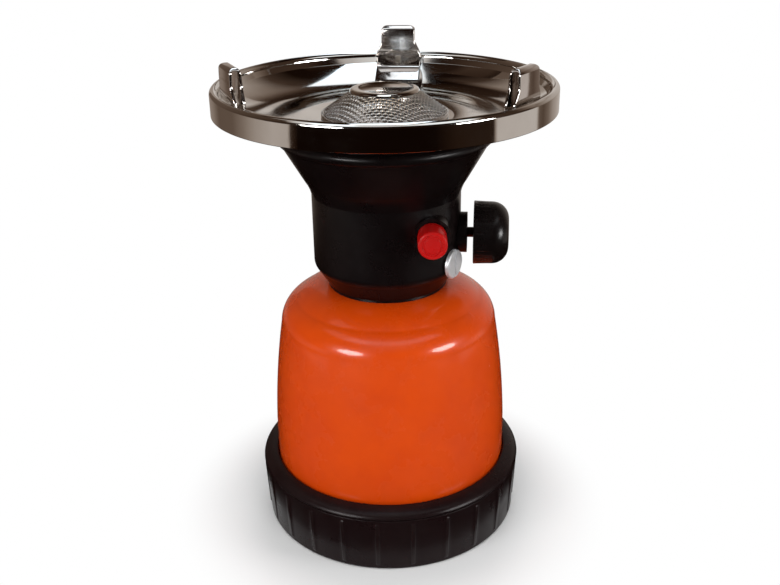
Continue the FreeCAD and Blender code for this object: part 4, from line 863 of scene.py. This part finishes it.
@dataclass
class Burner:
    """Burner on the dish: a cup, a cone of woven wire and a polished cap."""

    floor: float = 171.2
    radius: float = 24.2
    wall: float = 0.7
    lip_height: float = 1.5
    neck: float = 8.6
    neck_bore: float = 7.7
    neck_length: float = 11.0
    cone_foot: float = 23.2
    cone_top: float = 12.2
    foot_height: float = 172.9
    top_height: float = 180.75
    pitch: float = 1.1
    wire: float = 0.19
    weave_lift: float = 0.8
    border_wire: float = 0.22
    cap_top: float = 181.7

    def cone_height(self, out: float) -> float:
        """Height of the wire cone at a distance from the axis."""
        share = clamped((out - self.cone_top) / (self.cone_foot - self.cone_top))
        return self.top_height + (self.foot_height - self.top_height) * share

    def wire_runs(self, line: int, along_x: bool) -> list[list[Vector]]:
        """Middle lines of one wire of the cloth, from the cone's foot to where the cap hides it.

        Args:
            line: The wire's number, counted from the middle.
            along_x: Whether it runs along X or along Y.

        Returns:
            The points of each of its stretches.
        """
        fixed = line * self.pitch
        half = math.sqrt(max(self.cone_foot * self.cone_foot - fixed * fixed, 0.0))
        side = 1 if along_x else -1
        steps = 2 * int(self.cone_foot / self.pitch) + 1
        runs: list[list[Vector]] = [[]]
        for step in range(-steps, steps + 1):
            moving = step * self.pitch / 2
            out = math.hypot(fixed, moving)
            if abs(moving) > half or out < self.cone_top - 1.0:
                runs.append([])
                continue
            over = 0 if step % 2 else side * (1 if (step // 2 + line) % 2 else -1)
            up = self.cone_height(out) + over * self.wire * self.weave_lift
            runs[-1].append(Vector((moving, fixed, up) if along_x else (fixed, moving, up)))
        return [run for run in runs if len(run) > 2]

    def woven_cone(self) -> bpy.types.Object:
        """Weaves the wire cloth over the cone, each wire over and under the ones that it crosses."""
        data = bmesh.new()
        count = int(self.cone_foot / self.pitch)
        for along_x in (True, False):
            for line in range(-count, count + 1):
                for run in self.wire_runs(line, along_x):
                    tube_rings(data, run, self.wire, 5)
        foot, low = self.cone_foot, self.foot_height - 0.1
        border = [Vector((foot * math.cos(turn), foot * math.sin(turn), low))
                  for turn in map(math.radians, even_angles(96))]
        tube_rings(data, border, self.border_wire, closed=True)
        data.transform(Matrix.Scale(MM, 4))
        return finished_mesh("woven_burner_cone", data)

    def build(self, bench: Bench) -> None:
        """Makes the cup, the wire cone and the cap, and fits them."""
        floor, out, inner, top = self.floor, self.radius, self.radius - self.wall, self.cap_top
        inside, lip, neck_end = floor + self.wall, floor + self.lip_height, floor - self.neck_length
        cup = turned("burner_seat_cup", softened(traced([
            (self.neck_bore, neck_end), (self.neck, neck_end), (self.neck, floor), (out, floor), (out, lip),
            (out - self.wall / 2, lip + 0.1), (inner, lip), (inner, inside), (self.neck_bore, inside)]), 0.2))
        bench.fit(cup, BURNER_STEEL, "stove", "burner_steel", "burner_cup")
        bench.fit(self.woven_cone(), MESH_STEEL, "stove", "mesh_steel", "burner_mesh")
        cap = turned("burner_cap_disc", softened(traced([
            (0, top - 0.8), (12.2, top - 0.8), (13.0, top - 1.25), (13.3, top - 1.15), (11.9, top, 1.6),
            (9.5, top), (9.1, top - 0.12), (0, top - 0.12)]), 0.25), even_angles(128))
        bench.fit(cap, BURNER_STEEL, "stove", "burner_steel", "burner_cap")


@dataclass
class Dish:
    """Chromed pan with a hemmed skirt, rolled rim, crease and bowl, in mm.

    Land is where the flat strip on the rolled rim starts and ends, in degrees. Hem is how far the folded edge
    stands inside the skirt's face and how high it reaches.
    """

    radius: float = 65.0
    rim: float = 184.0
    wall: float = 0.7
    skirt_bottom: float = 174.4
    roll: float = 1.7
    land: tuple[float, float] = (27.0, 49.0)
    hem: tuple[float, float] = (1.3, 2.6)
    bowl_floor: float = 171.2
    bowl_floor_radius: float = 26.0
    hole: float = 8.65

    def build(self, bench: Bench) -> None:
        """Turns the pan and fits it."""
        radius, rim, roll, skirt = self.radius, self.rim, self.roll, self.skirt_bottom
        low, high = (Vector((radius - roll + roll * math.cos(turn), rim - roll + roll * math.sin(turn)))
                     for turn in map(math.radians, self.land))
        land = [tuple(low.lerp(high, share)) for share in (0.06, 0.94, 1.0)]
        outer = traced([
            (radius, skirt + 0.18), (radius, skirt + 3.0), (radius, rim - 4.0), (radius, rim - roll),
            (*low, roll), *land, (radius - roll, rim, roll), (radius - 3.3, rim - 2.2, 2.4),
            (radius - 4.5, rim - 4.4), (39.0, self.bowl_floor + 0.8, -36.0),
            (self.bowl_floor_radius, self.bowl_floor, 165.0), (self.hole, self.bowl_floor)],
            closed=False, step=0.4)
        face = sheet(outer, self.wall)
        hem_in, hem_up = self.hem
        hem = [(radius - self.wall, skirt + hem_up), (radius - hem_in, skirt + hem_up),
               (radius - hem_in, skirt + 0.35), (radius - 0.95, skirt, 0.5), (radius - 0.18, skirt)]
        pan = turned("chromed_dish", softened(traced([*face[:-1], *hem], step=0.15), 0.25), even_angles(256))
        bench.fit(pan, CHROME, "stove", "dish_chrome", "dish")


@dataclass
class PotSupports:
    """Three folded strips that hold a pot over the dish."""

    outer: float = 61.0
    depth: float = 4.5
    sheet: float = 1.0
    top: float = 195.5
    leg_end: float = 182.3
    foot_height: float = 177.4
    foot_drop: float = 3.8
    foot_length: float = 8.2
    top_half: float = 7.0
    foot_half: float = 9.25
    flare: tuple[float, float] = (183.2, 189.4)
    corner: float = 2.2
    bend: float = 1.5
    edge: float = 0.32
    angles: dict[str, float] = field(default_factory=lambda: {
        "support_back": 90.0, "support_left": 210.0, "support_right": 330.0})

    def half_width(self, up: float) -> float:
        """Half the strip's width at a height."""
        low, high = self.flare
        if up > self.top - self.corner:
            rise = min(up - self.top + self.corner, self.corner)
            return self.top_half - self.corner + math.sqrt(self.corner ** 2 - rise * rise)
        return self.foot_half + (self.top_half - self.foot_half) * eased((up - low) / (high - low))

    def middle_line(self) -> list[Point]:
        """Middle of the strip, from the outer leg's end over the top to the foot's end."""
        half, bend, foot = self.sheet / 2, self.bend, self.foot_height
        out, inner, top = self.outer - half, self.outer - self.depth + half, self.top - half
        return traced([
            (out - 0.7, self.leg_end), (out - 0.1, top - bend, 46.0), (out - bend, top, bend),
            (inner + bend, top), (inner + 0.1, top - bend, bend), (inner + 0.3, foot + 1.6, 70.0),
            (inner - 0.8, foot + 0.5, -1.3), (inner - 4.0, foot - 1.1),
            (inner + half - self.foot_length, foot + half - self.foot_drop)], closed=False, step=0.3)

    def strip(self, name: str, angle: float) -> bpy.types.Object:
        """Sweeps one strip with rounded edges.

        Args:
            name: Name of the piece.
            angle: Its place round the dish, in degrees.

        Returns:
            The new object.
        """
        data = bmesh.new()
        line = self.middle_line()
        half, edge = self.sheet / 2, self.edge
        rings = []
        for index, here in enumerate(line):
            before = Vector(line[max(index - 1, 0)])
            after = Vector(line[min(index + 1, len(line) - 1)])
            along = (after - before).normalized()
            face = Vector((along.y, -along.x))
            ring = []
            for side, level in ((1, 1), (1, -1), (-1, -1), (-1, 1)):
                for turn in (0.0, 30.0, 60.0, 90.0):
                    bend = math.radians(turn if side * level > 0 else 90.0 - turn)
                    place = Vector(here) + face * level * (half - edge + edge * math.cos(bend))
                    wide = self.half_width(place.y) - edge + edge * math.sin(bend)
                    ring.append(data.verts.new((side * wide, place.x, place.y)))
            rings.append(ring)
        for ring, after in zip(rings[:-1], rings[1:]):
            stitch(data, ring, after)
        data.faces.new(rings[0])
        data.faces.new(rings[-1][::-1])
        data.transform(Matrix.Scale(MM, 4) @ Matrix.Rotation(math.radians(angle - 90.0), 4, "Z"))
        return finished_mesh(name, data)

    def build(self, bench: Bench) -> None:
        """Makes the three strips and fits them."""
        for node, angle in self.angles.items():
            bench.fit(self.strip("pot_" + node, angle), SUPPORT_CHROME, "stove", "support_chrome", node)


def facing(azimuth: float, lift: float = 0.0) -> Vector:
    """Direction at an azimuth, from the front round towards the knob, and a lift, both in degrees."""
    turn, rise = math.radians(azimuth), math.radians(lift)
    return Vector((math.sin(turn) * math.cos(rise), -math.cos(turn) * math.cos(rise), math.sin(rise)))


@dataclass(frozen=True)
class Lamp:
    """One soft lamp: where it stands, its size in metres, its power in watts and which rays see it."""

    name: str
    azimuth: float
    height: float
    distance: float
    size: tuple[float, float]
    power: float
    glossy: bool = True
    diffuse: bool = True


@dataclass(frozen=True)
class Card:
    """One curved reflector card that only mirrors see.

    Each ring is a distance from the stove's axis and a height in metres, and how much of the card's light is
    left there. Each stop is an azimuth in degrees and the card's brightness there.
    """

    name: str
    rings: tuple[tuple[float, float, float], ...]
    stops: tuple[tuple[float, float], ...]

    def brightness(self, azimuth: float) -> float:
        """Brightness at an azimuth, drawn straight from stop to stop."""
        for (start, before), (end, after) in zip(self.stops[:-1], self.stops[1:]):
            if start <= azimuth <= end:
                return before + (after - before) * (azimuth - start) / (end - start)
        return self.stops[-1][1]


def raised(name: str, lifts: tuple[tuple[float, float], ...], stops: tuple[tuple[float, float], ...]) -> Card:
    """A card that stands up round the dish.

    Args:
        name: Its name.
        lifts: Degrees above the dish of each ring, from the lowest, and how much of the light is left there.
        stops: Azimuths and the brightness there.

    Returns:
        The card, 2.5 m from the dish.
    """
    reach, dish_height = 2.5, 0.18
    rises = ((math.radians(lift), share) for lift, share in lifts)
    rings = tuple((reach * math.cos(rise), dish_height + reach * math.sin(rise), share)
                  for rise, share in rises)
    return Card(name, rings, stops)


CARDS = (
    Card("table_card", ((0.34, 0.002, 1.0), (2.45, 0.02, 1.0)), (
        (-180.0, 0.45), (-152.0, 0.24), (-136.0, 0.19), (-124.0, 0.09), (-104.0, 0.10), (-92.0, 0.19),
        (-80.0, 0.34), (-66.0, 0.44), (-54.5, 0.42), (-53.0, 0.02), (-48.0, 0.002), (36.0, 0.002),
        (50.0, 0.010), (75.0, 0.012), (78.0, 0.52), (115.0, 0.55), (118.0, 0.10), (124.0, 0.07),
        (132.0, 0.14), (140.0, 0.29), (160.0, 0.45), (180.0, 0.45))),
    Card("near_table_card", ((0.062, 0.001, 1.0), (0.34, 0.002, 1.0)), ((-180.0, 0.005), (180.0, 0.005))),
    raised("front_wall_card", ((-4.1, 1.0), (45.0, 1.0)), (
        (-150.0, 0.10), (-70.0, 0.03), (-40.0, 0.004), (60.0, 0.006), (76.0, 0.03), (110.0, 0.03))),
    raised("front_strip_card", ((45.0, 0.3), (49.0, 1.0), (58.0, 1.0), (63.0, 0.3)), (
        (-150.0, 0.02), (-104.0, 0.05), (-96.0, 0.7), (-62.0, 0.9), (-54.0, 1.7), (-24.0, 1.7), (-16.0, 1.05),
        (36.0, 1.05), (46.0, 1.3), (78.0, 1.3), (88.0, 0.05), (110.0, 0.03))),
    raised("front_roof_card", ((63.0, 1.0), (89.0, 1.0)), ((-150.0, 0.01), (110.0, 0.01))),
    raised("back_foot_card", ((-4.1, 1.0), (13.5, 1.0)), (
        (110.0, 0.06), (140.0, 0.40), (182.7, 0.60), (183.3, 0.04), (184.9, 0.03), (185.5, 0.60),
        (192.0, 0.56), (195.0, 0.30), (210.0, 0.30))),
    raised("back_low_card", ((13.5, 1.0), (16.0, 1.0), (24.0, 0.6)), (
        (110.0, 0.06), (140.0, 0.40), (182.7, 0.60), (183.3, 0.04), (186.2, 0.03), (186.7, 0.60),
        (192.0, 0.56), (195.0, 0.30), (210.0, 0.30))),
    raised("back_high_card", (
        (24.0, 0.5), (30.0, 0.42), (36.0, 0.3), (44.0, 0.05), (54.0, 0.005), (61.0, 0.005)), (
        (110.0, 0.10), (140.0, 0.75), (158.0, 0.80), (164.0, 0.85), (175.0, 0.50), (181.0, 0.12),
        (184.0, 0.03), (194.0, 0.03), (199.0, 0.70), (210.0, 0.70))),
    raised("back_roof_card", ((61.0, 1.0), (89.0, 1.0)), (
        (110.0, 0.02), (150.0, 0.004), (200.0, 0.01), (210.0, 0.03))),
)


@dataclass
class Studio:
    """Camera, soft lamps, pale floor and the cards that the chrome mirrors.

    The eye, lens and sensor are in mm, angles are in degrees and the rest is in metres. Each corner of the
    window is a place across, a place along and the brightness there.
    """

    eye: tuple[float, float, float] = (39.07, -363.7, 259.5)
    azimuth: float = 6.0
    pitch: float = 23.88
    roll: float = 0.94
    lens: float = 45.06
    sensor: float = 36.0
    clip: tuple[float, float] = (0.01, 20.0)
    middle_height: float = 0.1
    ambient: float = 0.26
    lamps: tuple[Lamp, ...] = (
        Lamp("left_glint", -33.0, 10.0, 1.5, (0.72, 0.40), 13.5, diffuse=False),
        Lamp("right_glint", 63.0, 7.0, 1.5, (0.72, 0.40), 13.5, diffuse=False),
        Lamp("left_softbox", -48.0, 14.0, 1.5, (0.6, 0.6), 6.0, glossy=False),
        Lamp("right_softbox", 80.0, 14.0, 1.5, (0.6, 0.6), 6.6, glossy=False),
        Lamp("overhead_softbox", 4.0, 55.0, 1.6, (1.6, 1.6), 14.0, glossy=False),
        Lamp("back_softbox", 180.0, 25.0, 1.6, (1.0, 1.0), 7.0, glossy=False),
    )
    window_height: float = 1.38
    window: tuple[tuple[float, float, float], ...] = (
        (-0.22, 1.35, 0.9), (0.05, 1.35, 1.5), (0.12, 0.95, 2.2), (0.20, 0.45, 2.8), (0.24, -0.40, 3.0),
        (-0.26, -0.40, 2.2))
    floor_rings: tuple[float, ...] = (0.15, 0.6, 6.0)
    floor_height: float = -0.0002
    floor_fade: tuple[float, float] = (0.054, 0.096)

    def camera(self) -> None:
        """Stands the camera where the photograph was taken from."""
        turn, dip, roll = (math.radians(value) for value in (self.azimuth, self.pitch, self.roll))
        ahead = Vector((-math.sin(turn) * math.cos(dip), math.cos(turn) * math.cos(dip), -math.sin(dip)))
        right = Vector((math.cos(turn), math.sin(turn), 0.0))
        up = right.cross(ahead)
        right, up = right * math.cos(roll) - up * math.sin(roll), up * math.cos(roll) + right * math.sin(roll)
        data = bpy.data.cameras.new("photo_camera")
        data.lens, data.sensor_width = self.lens, self.sensor
        data.clip_start, data.clip_end = self.clip
        camera = bpy.data.objects.new("photo_camera", data)
        bpy.context.scene.collection.objects.link(camera)
        turned_to = Matrix((right, up, -ahead)).transposed().to_4x4()
        camera.matrix_world = Matrix.Translation(Vector(self.eye) * MM) @ turned_to
        bpy.context.scene.camera = camera

    def hung(self, data: bpy.types.Light, lamp: Lamp) -> bpy.types.Object:
        """Hangs a lamp round the stove, facing its middle.

        Args:
            data: The lamp's data.
            lamp: Where it stands.

        Returns:
            The lamp's object.
        """
        aim = facing(lamp.azimuth, lamp.height)
        placed = bpy.data.objects.new(lamp.name, data)
        bpy.context.scene.collection.objects.link(placed)
        placed.location = Vector((0, 0, self.middle_height)) + aim * lamp.distance
        placed.rotation_euler = aim.to_track_quat("Z", "Y").to_euler()
        return placed

    def light(self) -> None:
        """Hangs the lamps and sets the world."""
        for lamp in self.lamps:
            data = bpy.data.lights.new(lamp.name, "AREA")
            data.shape, data.size, data.size_y = "ELLIPSE", *lamp.size
            data.energy = lamp.power
            placed = self.hung(data, lamp)
            placed.visible_glossy, placed.visible_diffuse = lamp.glossy, lamp.diffuse
        world = bpy.data.worlds.new("studio")
        world.use_nodes = True
        tree = Tree(world.node_tree)
        strength = tree.spread(self.seen(tree), 0.0, 1.0, self.ambient, 1.0)
        sky = tree.add("Background", {"Color": (1.0, 1.0, 1.0, 1.0), "Strength": strength})
        tree.add("OutputWorld", {"Surface": sky.outputs[0]})
        bpy.context.scene.world = world
        log.info("%d lamps and the world are set", len(self.lamps))

    def seen(self, tree: Tree) -> bpy.types.NodeSocket:
        """1 for camera, glossy and transmission rays."""
        path = tree.add("LightPath").outputs
        return tree.maths("MAXIMUM", path["Is Camera Ray"],
                          tree.maths("MAXIMUM", path["Is Glossy Ray"], path["Is Transmission Ray"]))

    def hang(self, name: str, data: bmesh.types.BMesh, material: bpy.types.Material) -> None:
        """Shows a card to mirrors alone and logs it as a studio card.

        Args:
            name: The card's name.
            data: Its mesh.
            material: What it is painted with.
        """
        placed = finished_mesh(name, data)
        placed.data.materials.append(material)
        placed.visible_camera = placed.visible_shadow = False
        placed.visible_diffuse = placed.visible_transmission = False
        log.info("studio card %s", name)

    def lit(self, data: bmesh.types.BMesh, place: Sequence[float], light: float) -> bmesh.types.BMVert:
        """Adds a card's corner with its brightness, which turns browner as it falls."""
        vert = data.verts.new(place)
        vert[data.verts.layers.float_color["glow"]] = (light ** 0.85, light, light ** 1.12, 1.0)
        return vert

    def hang_cards(self) -> None:
        """Bends every card round the stove and hangs the bright window over it."""
        material = bpy.data.materials.new("reflector_card")
        material.use_nodes = True
        tree = Tree(material.node_tree)
        tone = tree.add("Attribute", attribute_name="glow", attribute_type="GEOMETRY").outputs["Color"]
        glow = tree.add("Emission", {"Color": tone, "Strength": 1.0})
        tree.add("OutputMaterial", {"Surface": glow.outputs[0]})
        for card in CARDS:
            first, last = card.stops[0][0], card.stops[-1][0]
            azimuths = [first + degree for degree in range(int(last - first) + 1)]
            data = bmesh.new()
            data.verts.layers.float_color.new("glow")
            around = [(facing(azimuth), card.brightness(azimuth)) for azimuth in azimuths]
            rows = [[self.lit(data, aim * radius + Vector((0, 0, up)), light * share)
                     for aim, light in around] for radius, up, share in card.rings]
            for row, after in zip(rows[:-1], rows[1:]):
                stitch(data, row, after, closed=False)
            self.hang(card.name, data, material)
        data = bmesh.new()
        data.verts.layers.float_color.new("glow")
        data.faces.new([self.lit(data, (across, along, self.window_height), light)
                        for across, along, light in self.window])
        self.hang("window_card", data, material)

    def floor(self) -> None:
        """Lays the pale floor, which fades to the white backdrop far from the stove."""
        data = bmesh.new()
        rings = [[data.verts.new((radius * math.cos(turn), radius * math.sin(turn), self.floor_height))
                  for turn in map(math.radians, even_angles(96))] for radius in self.floor_rings]
        data.faces.new(rings[0])
        for ring, after in zip(rings[:-1], rings[1:]):
            stitch(data, ring, after)
        floor = finished_mesh("pale_floor", data)
        material = bpy.data.materials.new("pale_floor")
        material.use_nodes = True
        tree = Tree(material.node_tree)
        place = tree.add("TexCoord").outputs["Object"]
        away = tree.add("VectorMath", {0: place}, operation="LENGTH").outputs["Value"]
        share = tree.product(self.seen(tree), tree.spread(away, *self.floor_fade, smooth=True))
        paper = tree.add("BsdfPrincipled", {"Base Color": (0.95, 0.95, 0.95, 1.0), "Roughness": 0.9,
                                            "Specular IOR Level": 0.1})
        glow = tree.add("Emission", {"Color": (1.0, 1.0, 1.0, 1.0), "Strength": 1.0})
        mixed = tree.add("MixShader", {0: share, 1: paper.outputs[0], 2: glow.outputs[0]})
        tree.add("OutputMaterial", {"Surface": mixed.outputs[0]})
        floor.data.materials.append(material)

    def build(self) -> None:
        """Sets up the whole studio."""
        self.camera()
        self.light()
        self.floor()
        self.hang_cards()
        log.info("the studio is set")


def main() -> None:
    """Builds the studio and the stove, logging each new piece's face count as it is fitted."""
    scene = bpy.context.scene
    scene.view_settings.view_transform = "Standard"
    Studio().build()
    bench = Bench()
    for part in (BaseCup(), CartridgeHousing(), HeadCasing(), ControlKnob(), Igniter(), Valve(), Burner(),
                 Dish(), PotSupports()):
        part.build(bench)
        log.info("%s is done", type(part).__name__)


if __name__ == "__main__":
    main()
